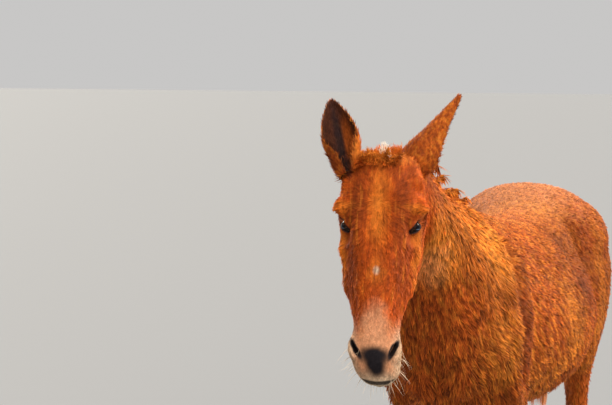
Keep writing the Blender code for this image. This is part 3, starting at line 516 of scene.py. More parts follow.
@dataclass(frozen=True)
class Anatomy:
    """Where the parts of the body lie, and how the hair lies and grows on them."""

    head: HeadFrame
    lengths: CoatLengths = CoatLengths()
    neck_foot: Triple = (0.0, -0.326, 1.12)
    neck_way: Triple = (0.0, -0.866, 0.5)
    knee_height: float = 0.7
    knee_fade: float = 0.14
    barrel_end: float = 0.36
    barrel_fade: float = 0.12
    leg_split: float = 0.1
    head_start: float = -0.67
    whorl: float = 0.135
    muzzle: Range = (0.36, 0.46)
    ear_middle: float = 0.02
    ear_reach: Range = (0.025, 0.06)
    depth_share: float = 0.22

    LIES = {
        "neck": (0.0, 0.5, -0.86),
        "trunk": (0.0, 0.78, -0.62),
        "leg": (0.0, 0.18, -0.98),
        "fallback": (0.0, 0.2, -1.0),
    }

    def shares(self, points: Array) -> dict[Region, Array]:
        """How far each point belongs to head, neck, trunk and legs, summing to one."""
        down, _, out = self.head.read(points).T
        head = soft(np.minimum.reduce((down + 0.04, out + 0.27, self.head_start - points[:, 1])), 0, 0.06)
        leg = soft(self.knee_height - points[:, 2], 0, self.knee_fade)
        neck = soft((points - self.neck_foot) @ np.array(self.neck_way), -0.06, 0.08) * (1 - head)
        neck = neck * (1 - leg)
        trunk = np.clip(1 - head - neck - leg, 0, 1)
        behind = soft(points[:, 1], self.barrel_end - self.barrel_fade, self.barrel_end + self.barrel_fade)
        return {
            Region.HEAD: head,
            Region.NECK: neck,
            Region.BARREL: trunk * (1 - behind),
            Region.RUMP: trunk * behind,
            Region.FORELEGS: leg * (points[:, 1] < self.leg_split),
            Region.HINDLEGS: leg * (points[:, 1] >= self.leg_split),
        }

    def near_ear(self, ear: Ear, points: Array) -> Array:
        """1 at the root of an ear, 0 away from it."""
        root, along, _ = ear.axis(self.head)
        return 1 - soft(np.linalg.norm(points - root - along * self.ear_middle, axis=1), *self.ear_reach)

    def lie(self, points: Array, faces: Array) -> Array:
        """The way that the hair lies at each point of the body, along the skin."""
        share = self.shares(points)
        down, left, out = self.head.read(points).T
        front = soft(out, -0.085, -0.03)
        face = (
            np.outer(np.clip((down - self.whorl) * 12, -1, 1) * front + (1 - front) * 0.75, self.head.down)
            + np.outer(left * 9 * front * (1 - soft(down, 0.22, 0.34)), self.head.left)
            + np.outer((1 - front) * -0.62, self.head.out)
        )
        way = (
            share[Region.HEAD][:, None] * face
            + np.outer(share[Region.NECK], self.LIES["neck"])
            + np.outer(share[Region.BARREL], self.LIES["trunk"])
            + np.outer(share[Region.RUMP], self.LIES["trunk"])
            + np.outer(share[Region.FORELEGS] + share[Region.HINDLEGS], self.LIES["leg"])
        )
        for ear in EARS:
            near = self.near_ear(ear, points)
            way = way * (1 - near)[:, None] + np.outer(near, ear.axis(self.head)[1])
        flat = along_skin(np.tile(self.LIES["fallback"], (len(faces), 1)), faces)
        return unit(along_skin(way, faces) + flat * 1e-3)

    def hair_length(self, points: Array, faces: Array) -> Array:
        """How long the coat is at each point."""
        share, size = self.shares(points), self.lengths
        down, _, out = self.head.read(points).T
        head = size.face + size.jaw * soft(-out, 0.09, 0.2) + size.poll * soft(-down, -0.07, 0.02)
        for ear in EARS:
            head += size.ear_root * self.near_ear(ear, points)
        muzzle = soft(down, *self.muzzle)
        head = head * (1 - muzzle) + size.muzzle * muzzle
        for word, _ in SIDES:
            far = soft(self.head.from_eye(word, points), 0.025, 0.05)
            head *= size.round_eyes + (1 - size.round_eyes) * far
        under, top = soft(-faces[:, 2], 0.2, 0.9), soft(faces[:, 2], 0.5, 0.95)
        chest = soft(-points[:, 1], 0.22, 0.4) * soft(1.05 - points[:, 2], 0, 0.2)
        trunk = size.trunk + size.belly * under + size.back * top + size.chest * chest
        leg = (size.leg + size.thigh * soft(points[:, 2], 0.4, 0.62)
               + size.behind_leg * soft(faces[:, 1], 0.3, 0.9))
        return (
            share[Region.HEAD] * head
            + share[Region.NECK] * size.neck
            + share[Region.BARREL] * trunk
            + share[Region.RUMP] * (trunk + size.rump)
            + (share[Region.FORELEGS] + share[Region.HINDLEGS]) * leg
        )

    def coat_depth(self, points: Array, faces: Array) -> Array:
        """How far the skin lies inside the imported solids, so that the coat's tips reach them."""
        down = self.head.read(points)[:, 0]
        depth = self.hair_length(points, faces) * self.depth_share
        bare = soft(down, 0.4, 0.46) * (points[:, 1] < -0.6)
        for word, _ in SIDES:
            bare = np.maximum(bare, 1 - soft(self.head.from_eye(word, points), 0.028, 0.045))
        sole = 1 - soft(points[:, 2], 0.09, 0.14)
        return depth * (1 - np.maximum(bare, sole))


@dataclass(frozen=True)
class Dab:
    """A soft swelling or hollow: its place, its reach each way, and its height."""

    name: str
    place: Triple
    reach: Triple
    height: float


@dataclass(frozen=True)
class Crease:
    """A groove or ridge along a line."""

    name: str
    line: tuple[Triple, ...]
    width: float
    height: float

    def distance(self, rows: Array) -> Array:
        """How far each row is from the line."""
        line, best = np.array(self.line), np.full(len(rows), np.inf)
        for start, end in zip(line, line[1:]):
            span = end - start
            share = np.clip((rows - start) @ span / (span @ span), 0, 1)
            best = np.minimum(best, np.linalg.norm(rows - start - share[:, None] * span, axis=1))
        return best


@dataclass(frozen=True)
class Relief:
    """Dabs and creases on one part of the body, the same on both sides."""

    dabs: tuple[Dab, ...]
    creases: tuple[Crease, ...]

    def lift(self, rows: Array, aside: int) -> Array:
        """How far each place is raised.

        Args:
            rows: The places.
            aside: Which of their three numbers changes sign from side to side.

        Returns:
            The height at each place.
        """
        rows = rows.copy()
        rows[:, aside] = np.abs(rows[:, aside])
        total = np.zeros(len(rows))
        for dab in self.dabs:
            total += dab.height * np.exp(-(((rows - dab.place) / dab.reach) ** 2).sum(axis=1))
        for crease in self.creases:
            total += crease.height * np.exp(-((crease.distance(rows) / crease.width) ** 2))
        return total


FACE = Relief(
    (
        Dab("brow", (0.15, 0.096, -0.042), (0.03, 0.02, 0.026), 0.0068),
        Dab("tear_bone", (0.232, 0.086, -0.046), (0.03, 0.012, 0.014), 0.0022),
        Dab("above_eye_hollow", (0.112, 0.084, -0.05), (0.016, 0.018, 0.018), -0.0055),
        Dab("temple_swell", (0.085, 0.08, -0.03), (0.02, 0.016, 0.02), 0.003),
        Dab("nose_side", (0.385, 0.046, -0.034), (0.05, 0.01, 0.018), -0.003),
        Dab("nostril_fold", (0.47, 0.054, -0.03), (0.016, 0.01, 0.014), 0.002),
        Dab("lip_corner", (0.47, 0.046, -0.088), (0.012, 0.012, 0.01), 0.0025),
        Dab("chin_dimple", (0.52, 0.02, -0.118), (0.01, 0.01, 0.01), -0.0014),
    ),
    (
        Crease("mouth", ((0.462, 0.06, -0.088), (0.5, 0.054, -0.087), (0.53, 0.044, -0.085),
                         (0.552, 0.028, -0.083), (0.562, 0.0, -0.082)), 0.0028, -0.005),
        Crease("brow_fold", ((0.132, 0.104, -0.062), (0.126, 0.098, -0.046), (0.132, 0.09, -0.028),
                             (0.15, 0.08, -0.012)), 0.005, -0.0022),
        Crease("upper_fold", ((0.12, 0.1, -0.06), (0.112, 0.086, -0.03), (0.117, 0.06, -0.008),
                              (0.136, 0.04, 0.004)), 0.0042, -0.0024),
        Crease("top_fold", ((0.1, 0.092, -0.052), (0.094, 0.07, -0.018), (0.103, 0.044, 0.0)),
               0.0042, -0.002),
        Crease("nostril_rim", ((0.462, 0.058, -0.024), (0.468, 0.062, -0.012), (0.486, 0.06, -0.004),
                               (0.505, 0.048, -0.01), (0.514, 0.036, -0.02)), 0.0045, 0.002),
        Crease("face_ridge", ((0.215, 0.094, -0.062), (0.26, 0.084, -0.066), (0.31, 0.07, -0.06),
                              (0.35, 0.06, -0.052)), 0.01, 0.0035),
        Crease("cheek_vein", ((0.25, 0.09, -0.09), (0.29, 0.08, -0.092), (0.34, 0.066, -0.08),
                              (0.39, 0.054, -0.062)), 0.004, 0.0016),
    ),
)
BODY = Relief(
    (
        Dab("shoulder_swell", (0.165, -0.33, 1.08), (0.07, 0.06, 0.13), 0.016),
        Dab("flank_hollow", (0.235, 0.4, 1.12), (0.07, 0.075, 0.1), -0.04),
        Dab("hip_bone", (0.19, 0.47, 1.215), (0.05, 0.05, 0.04), 0.01),
        Dab("breast_swell", (0.065, -0.47, 0.93), (0.045, 0.06, 0.08), 0.01),
        Dab("elbow", (0.19, -0.25, 0.8), (0.04, 0.045, 0.05), 0.008),
        Dab("stifle", (0.2, 0.4, 0.8), (0.05, 0.06, 0.07), 0.008),
    ),
    (
        Crease("shoulder_ridge", ((0.05, -0.29, 1.335), (0.09, -0.285, 1.305), (0.146, -0.27, 1.215),
                                  (0.176, -0.325, 1.09), (0.205, -0.325, 0.98)), 0.032, 0.013),
        Crease("behind_shoulder", ((0.12, -0.18, 1.25), (0.17, -0.215, 1.15), (0.205, -0.25, 1.05),
                                   (0.215, -0.26, 0.95), (0.205, -0.22, 0.83)), 0.034, -0.026),
        Crease("before_shoulder", ((0.08, -0.38, 1.27), (0.125, -0.4, 1.15), (0.14, -0.44, 1.03)),
               0.026, -0.008),
        Crease("windpipe_groove", ((0.06, -0.78, 1.2), (0.08, -0.66, 1.1), (0.09, -0.54, 1.0)),
               0.02, -0.006),
        Crease("breast_groove", ((0.0, -0.53, 1.02), (0.0, -0.5, 0.86), (0.0, -0.4, 0.74)),
               0.018, -0.012),
        Crease("thigh_edge", ((0.17, 0.56, 1.235), (0.24, 0.6, 1.13), (0.275, 0.56, 1.0),
                              (0.265, 0.5, 0.9)), 0.032, 0.012),
        Crease("ham_groove", ((0.14, 0.8, 1.12), (0.17, 0.76, 1.0), (0.15, 0.72, 0.86)),
               0.022, -0.008),
    ),
)


@dataclass
class Skin:
    """One hide over head, neck, trunk, legs, dock and ears."""

    anatomy: Anatomy
    finish: Material
    voxel: float = 0.0035
    quick_voxel: float = 0.005
    body_triangles: int = 66_000
    swell: float = 0.0006
    smoothing: float = 0.5
    first_passes: int = 5
    lock_passes: int = 160
    trunk_passes: int = 24
    crest_width: float = 0.055
    weight_steps: int = 20
    lip_start: float = 0.455
    lip_taper: float = 0.09
    ear_voxel: float = 0.0018
    ear_passes: int = 6
    ear_triangles: int = 5_000
    ear_sink: float = 0.02
    ear_foot: float = 0.06
    eye: EyeShape = EyeShape()
    ear_lumps: tuple[Range, ...] = ((0.02, 0.04), (0.024, 0.046))

    def build(self, nodes: dict[str, Object]) -> list[Object]:
        """Fuses the flesh, sculpts the face and joins the ears.

        Args:
            nodes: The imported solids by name.

        Returns:
            The finished skin, which stands for the flesh nodes.
        """
        flesh = ["head", "neck", "torso"]
        flesh += [f"{leg}_{word}" for leg in ("foreleg", "hindleg") for word, _ in SIDES]
        skin = self.fuse([self.swollen(nodes[name]) for name in flesh] + self.filling())
        for step in (self.settle, self.thin, self.refine, self.sculpt, self.open_lids):
            step(skin)
        ears = [self.ear(nodes[f"ear_{ear.word}"], ear) for ear in EARS]
        self.mark(skin, None)
        join([skin, *ears])
        skin.name = skin.data.name = "skin"
        return [hand_over(skin, self.finish, "coat", *flesh, *(f"ear_{ear.word}" for ear in EARS))]

    def swollen(self, node: Object) -> Object:
        """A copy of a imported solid, very slightly swollen so that it meets its neighbours."""
        copy = solid_copy(node, f"{node.name}_flesh")
        modify(copy, "DISPLACE", strength=self.swell, mid_level=0.0)
        return copy

    def filling(self) -> list[Object]:
        """Flesh that the solids leave open: dock, eye sockets and the muscle round the ears' roots."""
        forms, head = [self.dock_tube()], self.anatomy.head
        full = self.eye.radius + self.eye.lid + self.swell
        for word, _ in SIDES:
            forms.append(self.lump(head.eye_centre(word), head.down, full, full))
        for ear, (radius, length) in zip(EARS, self.ear_lumps):
            root, along, _ = ear.axis(head)
            forms.append(self.lump(root, along, radius, length))
        return forms

    @staticmethod
    def lump(centre: Array, along: Array, radius: float, length: float) -> Object:
        """An egg of flesh round a point."""
        form = added(bpy.ops.mesh.primitive_uv_sphere_add, segments=24, ring_count=16, radius=1)
        turn = Vector(along).to_track_quat("Z", "Y").to_matrix().to_4x4()
        size = Matrix.Diagonal((radius, radius, length, 1))
        form.data.transform(Matrix.Translation(centre) @ turn @ size)
        return form

    @staticmethod
    def dock_tube() -> Object:
        """The fleshy root of the tail as a tapered tube."""
        tube = added(bpy.ops.curve.primitive_nurbs_path_add, location=(0, 0, 0))
        spline = tube.data.splines[0]
        spline.points.add(len(DOCK) - len(spline.points))
        for point, (y, z, radius) in zip(spline.points, DOCK):
            point.co = (0, y, z, 1)
            point.radius = radius
        spline.use_endpoint_u = True
        spline.order_u = 4
        tube.data.bevel_depth = 1.0
        tube.data.bevel_resolution = 6
        tube.data.use_fill_caps = True
        bpy.ops.object.convert(target="MESH")
        return tube

    def fuse(self, forms: Sequence[Object]) -> Object:
        """One closed surface over all the forms."""
        skin = join(forms)
        modify(skin, "REMESH", mode="VOXEL", voxel_size=self.voxel)
        self.keep_from(skin, int(places(skin.data)[:, 1].argmax()))
        return skin

    @staticmethod
    def keep_from(thing: Object, index: int) -> None:
        """Drops every surface but the one that holds the vertex."""
        pick(thing, "VERT", np.arange(len(thing.data.vertices)) == index)
        with editing(thing):
            bpy.ops.mesh.select_linked()
            bpy.ops.mesh.select_all(action="INVERT")
            bpy.ops.mesh.delete(type="VERT")

    def settle(self, skin: Object) -> None:
        """Smooths the hide, melts the solids' locks into it and draws it in by the coat's depth."""
        modify(skin, "SMOOTH", factor=self.smoothing, iterations=self.first_passes)
        points, faces = surface(skin)
        share = self.anatomy.shares(points)
        down, _, out = self.anatomy.head.read(points).T
        middle = soft(self.crest_width - np.abs(points[:, 0]), 0, 0.02)
        above = soft(points[:, 2] - 1.36 - 0.22 * (-0.2 - points[:, 1]), 0, 0.05)
        crest = np.maximum(soft(faces[:, 2], 0.15, 0.5) * share[Region.NECK],
                           middle * share[Region.NECK] * above)
        poll = (1 - soft(down, 0.03, 0.06)) * soft(out, -0.1, -0.06) * share[Region.HEAD]
        for name, weights, passes in (("locks", np.maximum(crest, poll), self.lock_passes),
                                      ("trunk", 1 - share[Region.HEAD], self.trunk_passes)):
            self.weigh(skin, name, weights)
            modify(skin, "SMOOTH", factor=self.smoothing, iterations=passes, vertex_group=name)
        points, faces = surface(skin)
        move_to(skin.data, points - faces * self.anatomy.coat_depth(points, faces)[:, None])

    def weigh(self, thing: Object, name: str, weights: Array) -> None:
        """A vertex group with the weights given, in small steps."""
        group, count = thing.vertex_groups.new(name=name), self.weight_steps
        steps = np.round(weights * count).astype(int)
        for step in range(1, count + 1):
            group.add(np.flatnonzero(steps == step).tolist(), step / count, "REPLACE")

    def thin(self, skin: Object) -> None:
        """Leaves the head as fine as it is and thins the rest."""
        points = places(skin.data)
        head = self.anatomy.shares(points)[Region.HEAD] > 0.5
        head &= self.anatomy.head.read(points)[:, 2] > -0.14
        self.weigh(skin, "body", 1.0 - head)
        kept = 2 * int(head.sum()) + self.body_triangles
        modify(skin, "DECIMATE", ratio=kept / (2 * len(skin.data.polygons)), vertex_group="body",
               vertex_group_factor=1.0, use_collapse_triangulate=True)
        skin.vertex_groups.clear()

    def refine(self, skin: Object) -> None:
        """Divides the faces round the eyes twice, and those at the lips once."""
        head = self.anatomy.head
        for reach, lips in ((0.04, True), (0.034, False)):
            corners = places(skin.data)[triangles(skin.data)].mean(axis=1)
            chosen = np.minimum(*(head.from_eye(word, corners) for word, _ in SIDES)) < reach
            if lips:
                chosen |= (head.read(corners)[:, 0] > self.lip_start) & (corners[:, 1] < MUZZLE_FRONT)
            pick(skin, "FACE", chosen)
            with editing(skin):
                bpy.ops.mesh.subdivide(number_cuts=1, smoothness=0.6)
                bpy.ops.mesh.select_all(action="SELECT")
                bpy.ops.mesh.quads_convert_to_tris()

    def sculpt(self, skin: Object) -> None:
        """Adds the folds, rims and muscles, and lets the lips hang a little to one side."""
        points, faces = surface(skin)
        head, on_head = self.anatomy.head, self.anatomy.shares(points)[Region.HEAD]
        rows = head.read(points)
        lift = FACE.lift(rows, 1) * on_head + BODY.lift(points, 0) * (1 - on_head)
        aside = soft(rows[:, 0], *LIPS) * on_head * LIP_LEAN
        aside -= soft(rows[:, 0], 0.5, 0.57) * on_head * self.lip_taper * rows[:, 1]
        move_to(skin.data, points + faces * lift[:, None] + np.outer(aside, head.left))

    def open_lids(self, skin: Object) -> None:
        """Draws the lids over the eyeballs and opens them in an almond."""
        points, head, eye = places(skin.data), self.anatomy.head, self.eye
        centre = np.array(eye.place)
        for _, side in SIDES:
            rows = head.read(points) * (1, side, 1)
            reach, ahead, margin, raised = eye.read(rows)
            near = (reach < eye.reach) & (ahead > 0.15)
            moved = centre + (rows - centre) * (eye.surface(reach, margin, raised) / reach)[:, None]
            points[near] = head.placed((moved * (1, side, 1))[near])
        move_to(skin.data, points)

    def ear(self, node: Object, ear: Ear) -> Object:
        """A smooth ear whose root runs on into the head."""
        thing = self.swollen(node)
        root, along, _ = ear.axis(self.anatomy.head)
        modify(thing, "REMESH", mode="VOXEL", voxel_size=self.ear_voxel)
        self.keep_from(thing, int(((places(thing.data) - root) @ along).argmax()))
        modify(thing, "SMOOTH", factor=self.smoothing, iterations=self.ear_passes)
        modify(thing, "DECIMATE", ratio=self.ear_triangles / (2 * len(thing.data.polygons)),
               use_collapse_triangulate=True)
        points = places(thing.data)
        up = (points - root) @ along
        sink = self.ear_sink * (1 - soft(up - up.min(), 0.0, self.ear_foot))
        move_to(thing.data, points - along * sink[:, None])
        self.mark(thing, ear)
        return thing

    def mark(self, thing: Object, ear: Ear | None) -> None:
        """Stores how far each vertex is inside the cup of an ear, with 0.5 on its back."""
        mesh = thing.data
        cup = np.zeros(len(mesh.vertices))
        if ear:
            cup = 0.5 + 0.5 * soft(ear.inward(self.anatomy.head, *surface(thing)), -0.1, 0.35)
        store(mesh, "cup", cup)


class Graph:
    """Places shader nodes in a tree and links them, so that a pattern reads as sums."""

    def __init__(self, tree: bpy.types.NodeTree) -> None:
        """Takes the tree that the nodes go into."""
        self.tree = tree

    def add(self, kind: str, *sources: object, **settings: object) -> bpy.types.Node:
        """A new node.

        Args:
            kind: Blender's name for the node, without its first part.
            sources: What its inputs are fed with, in order.
            settings: Which of its properties are set.

        Returns:
            The node.
        """
        node = self.tree.nodes.new(f"ShaderNode{kind}")
        for name, value in settings.items():
            setattr(node, name, value)
        for socket, source in zip(node.inputs, sources):
            self.feed(socket, source)
        return node

    def feed(self, socket: Socket, source: object) -> None:
        """Links a socket to another, or sets its value."""
        if isinstance(source, Socket):
            self.tree.links.new(source, socket)
        elif isinstance(source, (int, float)):
            socket.default_value = float(source)
        else:
            numbers = tuple(float(part) for part in source)
            socket.default_value = numbers + (1.0,) * (len(socket.default_value) - len(numbers))

    def feed_named(self, node: bpy.types.Node, **sources: object) -> None:
        """Feeds a node's inputs by name, with low lines for the spaces."""
        for name, source in sources.items():
            self.feed(node.inputs[name.replace("_", " ")], source)

    def attribute(self, name: str, output: str = "Vector") -> Socket:
        """What a mesh keeps for each vertex."""
        return self.add("Attribute", attribute_name=name).outputs[output]

    def math(self, operation: str, *inputs: object, clamp: bool = False) -> Socket:
        """The result of a Math node."""
        return self.add("Math", *inputs, operation=operation, use_clamp=clamp).outputs[0]

    def times(self, first: object, *others: object) -> Socket:
        """The product of numbers."""
        for other in others:
            first = self.math("MULTIPLY", first, other)
        return first

    def vector(self, operation: str, *inputs: object) -> Socket:
        """The result of a Vector Math node, a number for dot products and lengths."""
        node = self.add("VectorMath", *inputs, operation=operation)
        return node.outputs["Value" if operation in ("DOT_PRODUCT", "LENGTH") else "Vector"]

    def scaled(self, vector: object, amount: object) -> Socket:
        """A vector or colour times a number."""
        node = self.add("VectorMath", vector, operation="SCALE")
        self.feed_named(node, Scale=amount)
        return node.outputs["Vector"]

    def parts(self, vector: object) -> list[Socket]:
        """The three numbers of a vector."""
        return list(self.add("SeparateXYZ", vector).outputs)

    def joined(self, *parts: object) -> Socket:
        """Three numbers as one vector."""
        return self.add("CombineXYZ", *parts).outputs[0]

    def turned(self, vector: object, axes: Sequence[Sequence[float]]) -> Socket:
        """A vector read along other directions, up to three of them."""
        return self.joined(*(self.vector("DOT_PRODUCT", vector, axis) for axis in axes))

    def step(self, value: object, low: float, high: float) -> Socket:
        """A smooth step of a value, from 0 at low to 1 at high."""
        return self.add("MapRange", value, low, high, 0.0, 1.0, interpolation_type="SMOOTHSTEP").outputs[0]

    def mix(self, share: object, first: object, second: object) -> Socket:
        """The first colour turning into the second as share goes from 0 to 1."""
        node = self.add("Mix", data_type="RGBA")
        for index, source in ((0, share), (6, first), (7, second)):
            self.feed(node.inputs[index], source)
        return node.outputs[2]

    def tint(self, colour: object, tone: object, mask: object, share: object) -> Socket:
        """A colour turned to a tone where the mask is 1, as far as share says."""
        return self.mix(self.math("MULTIPLY", mask, share), colour, tone)

    def noise(self, vector: object, scale: float, detail: float = 3.0) -> Socket:
        """A noise between 0 and 1."""
        node = self.add("TexNoise")
        self.feed_named(node, Vector=vector, Scale=scale, Detail=detail)
        return node.outputs[0]

    def patch(self, vector: object, place: Sequence[float], reach: Sequence[float], edge: float) -> Socket:
        """A soft-edged egg: 1 inside, 0 outside.

        Args:
            vector: Where the shaded point is.
            place: The middle of the egg.
            reach: Its half sizes.
            edge: The share of the reach over which it fades.

        Returns:
            The mask.
        """
        away = self.vector("DIVIDE", self.vector("SUBTRACT", vector, place), reach)
        return self.step(self.vector("LENGTH", away), 1 + edge, 1 - edge)

    def patches(self, colour: object, rows: Sequence[tuple]) -> Socket:
        """Soft eggs of colour, one over another.

        Args:
            colour: The colour below them.
            rows: For each the vector it is read from, middle, half sizes, edge, share and tone.

        Returns:
            The colour with all of them on it.
        """
        for where, place, reach, edge, share, tone in rows:
            colour = self.tint(colour, tone, self.patch(where, place, reach, edge), share)
        return colour

    def bump(self, shader: bpy.types.Node, height: Socket, strength: float, distance: float) -> None:
        """Lets a height stand out of a shader's surface."""
        node = self.add("Bump")
        self.feed_named(node, Height=height, Strength=strength, Distance=distance)
        self.feed(shader.inputs["Normal"], node.outputs[0])


def painted(name: str, **constants: object) -> tuple[Material, Graph, bpy.types.Node]:
    """A new material with one Principled shader.

    Args:
        name: What the material is called.
        constants: The shader's inputs that have one value all over, low lines for the spaces.

    Returns:
        The material, its graph and the shader.
    """
    made = bpy.data.materials.new(name)
    made.use_nodes = True
    graph, shader = Graph(made.node_tree), made.node_tree.nodes["Principled BSDF"]
    graph.feed_named(shader, **constants)
    return made, graph, shader


@dataclass(frozen=True)
class MarkingsAndLight:
    """The colours of the hide, the same on the skin and on the coat over it, with painted light and shade
    on body, face and ears.
    """

    head: HeadFrame
    chestnut: Triple = (0.58, 0.115, 0.011)
    deep: Triple = (0.26, 0.042, 0.006)
    bright: Triple = (0.86, 0.275, 0.03)
    mealy_and_highlight: Triple = (0.82, 0.37, 0.18)
    cream: Triple = (0.84, 0.66, 0.44)
    russet: Triple = (0.64, 0.092, 0.006)
    amber: Triple = (0.92, 0.25, 0.024)
    umber_shade: Triple = (0.105, 0.018, 0.004)
    dark: Triple = (0.015, 0.011, 0.013)
    inner_ear: Triple = (0.075, 0.024, 0.014)
    star: Triple = (0.96, 0.74, 0.52)
    body_edge: float = 0.75
    body_wander: float = 0.09
    face_wander: float = 0.03
    lip_wander: float = 0.01

    NAME = "mule_markings_and_light"
    BODY_STREAKS = ((0.0, 7.0, -8.0), (0.0, 66.0, 52.0), (84.0, 0.0, 0.0))
    FACE_STREAKS = (16.0, 120.0, 60.0)
    NOSTRIL = (0.489, 0.045, -0.016)
    NOSTRIL_AXES = ((0.9, -0.43, 0.0), (0.43, 0.9, 0.0), (0.0, 0.0, 1.0))

    def build(self) -> bpy.types.NodeTree:
        """The shader node group, with Position and Cup in and Color out."""
        tree = bpy.data.node_groups.new(self.NAME, "ShaderNodeTree")
        for name, way, kind in (("Position", "INPUT", "Vector"), ("Cup", "INPUT", "Float"),
                                ("Color", "OUTPUT", "Color")):
            tree.interface.new_socket(name, in_out=way, socket_type=f"NodeSocket{kind}")
        graph = Graph(tree)
        source, target = tree.nodes.new("NodeGroupInput"), tree.nodes.new("NodeGroupOutput")
        position, cup = source.outputs["Position"], source.outputs["Cup"]
        ruffle = graph.add("TexNoise")
        graph.feed_named(ruffle, Vector=position, Scale=34.0)
        wander = graph.vector("SUBTRACT", ruffle.outputs[1], (0.5, 0.5, 0.5))
        colour = self.body(graph, position, wander)
        colour = self.face(graph, position, wander, colour)
        colour = self.ears(graph, position, cup, colour)
        tree.links.new(colour, target.inputs["Color"])
        return tree

    def body(self, graph: Graph, position: Socket, wander: Socket) -> Socket:
        """Chestnut with deeper and brighter drifts and paler inside the legs; painted shade low on the
        chest, behind the shoulder, in the flank hollow and over the thigh, and painted highlights on neck,
        shoulder, thigh edge and croup.
        """
        drift = graph.step(graph.noise(position, 3.4), 0.42, 0.72)
        colour = graph.mix(drift, self.chestnut, self.bright)
        colour = graph.tint(colour, self.deep, graph.step(graph.noise(position, 6.5), 0.45, 0.8), 0.45)
        streak = graph.noise(graph.turned(position, self.BODY_STREAKS), 1.0)
        moved = graph.vector("ADD", position, graph.scaled(wander, self.body_wander))
        across, back, height = graph.parts(moved)
        side = graph.math("ABSOLUTE", across)
        shaggy = graph.math("MULTIPLY_ADD", graph.step(height, 0.45, 0.85), 0.45, 0.2)
        for low, high, tone in ((0.54, 0.38, self.deep), (0.5, 0.67, self.bright)):
            colour = graph.tint(colour, tone, graph.step(streak, low, high), shaggy)
        # Painted light and shade, egg by egg: middle, half sizes, share and tone.
        areas = (
            # Painted shade low on the chest, under the neck.
            ((0.06, -0.56, 0.88), (0.17, 0.2, 0.26), 0.6, self.deep),
            # Painted highlights on the neck and on the shoulder.
            ((0.11, -0.6, 1.3), (0.06, 0.15, 0.1), 0.65, self.bright),
            ((0.13, -0.32, 1.22), (0.09, 0.12, 0.14), 0.85, self.bright),
            # Painted shade in the groove behind the shoulder.
            ((0.21, -0.225, 0.96), (0.11, 0.09, 0.24), 0.72, self.deep),
            ((0.2, -0.25, 1.04), (0.09, 0.032, 0.11), 0.58, self.umber_shade),
            # Painted shade in the flank hollow.
            ((0.235, 0.48, 1.09), (0.14, 0.22, 0.19), 0.76, self.deep),
            ((0.225, 0.365, 1.11), (0.13, 0.048, 0.15), 0.55, self.umber_shade),
            # Painted highlight along the front edge of the thigh.
            ((0.27, 0.68, 1.06), (0.08, 0.03, 0.17), 0.4, self.bright),
            # Painted shade over the thigh.
            ((0.26, 0.81, 0.98), (0.13, 0.12, 0.28), 0.6, self.deep),
            # Painted highlight on the front of the neck; at the throat, pale hair with a painted highlight.
            ((0.06, -0.64, 1.26), (0.06, 0.08, 0.11), 0.75, self.bright),
            ((0.04, -0.63, 1.23), (0.04, 0.05, 0.09), 0.3, self.mealy_and_highlight),
            # Painted highlight over the top of the croup.
            ((0.05, 0.56, 1.36), (0.24, 0.42, 0.1), 0.5, self.mealy_and_highlight),
        )
        where = graph.joined(side, back, height)
        colour = graph.patches(colour, [(where, place, reach, self.body_edge, share, tone)
                                        for place, reach, share, tone in areas])
        groin = graph.times(graph.step(height, 0.8, 0.66), graph.step(side, 0.17, 0.08),
                            graph.step(height, 0.4, 0.55))
        shank = graph.times(graph.step(height, 0.52, 0.36), graph.step(height, 0.06, 0.16))
        colour = graph.tint(colour, self.mealy_and_highlight, groin, 0.7)
        colour = graph.tint(colour, self.mealy_and_highlight, shank, 0.22)
        return graph.tint(colour, self.deep, graph.step(height, 0.13, 0.07), 0.6)

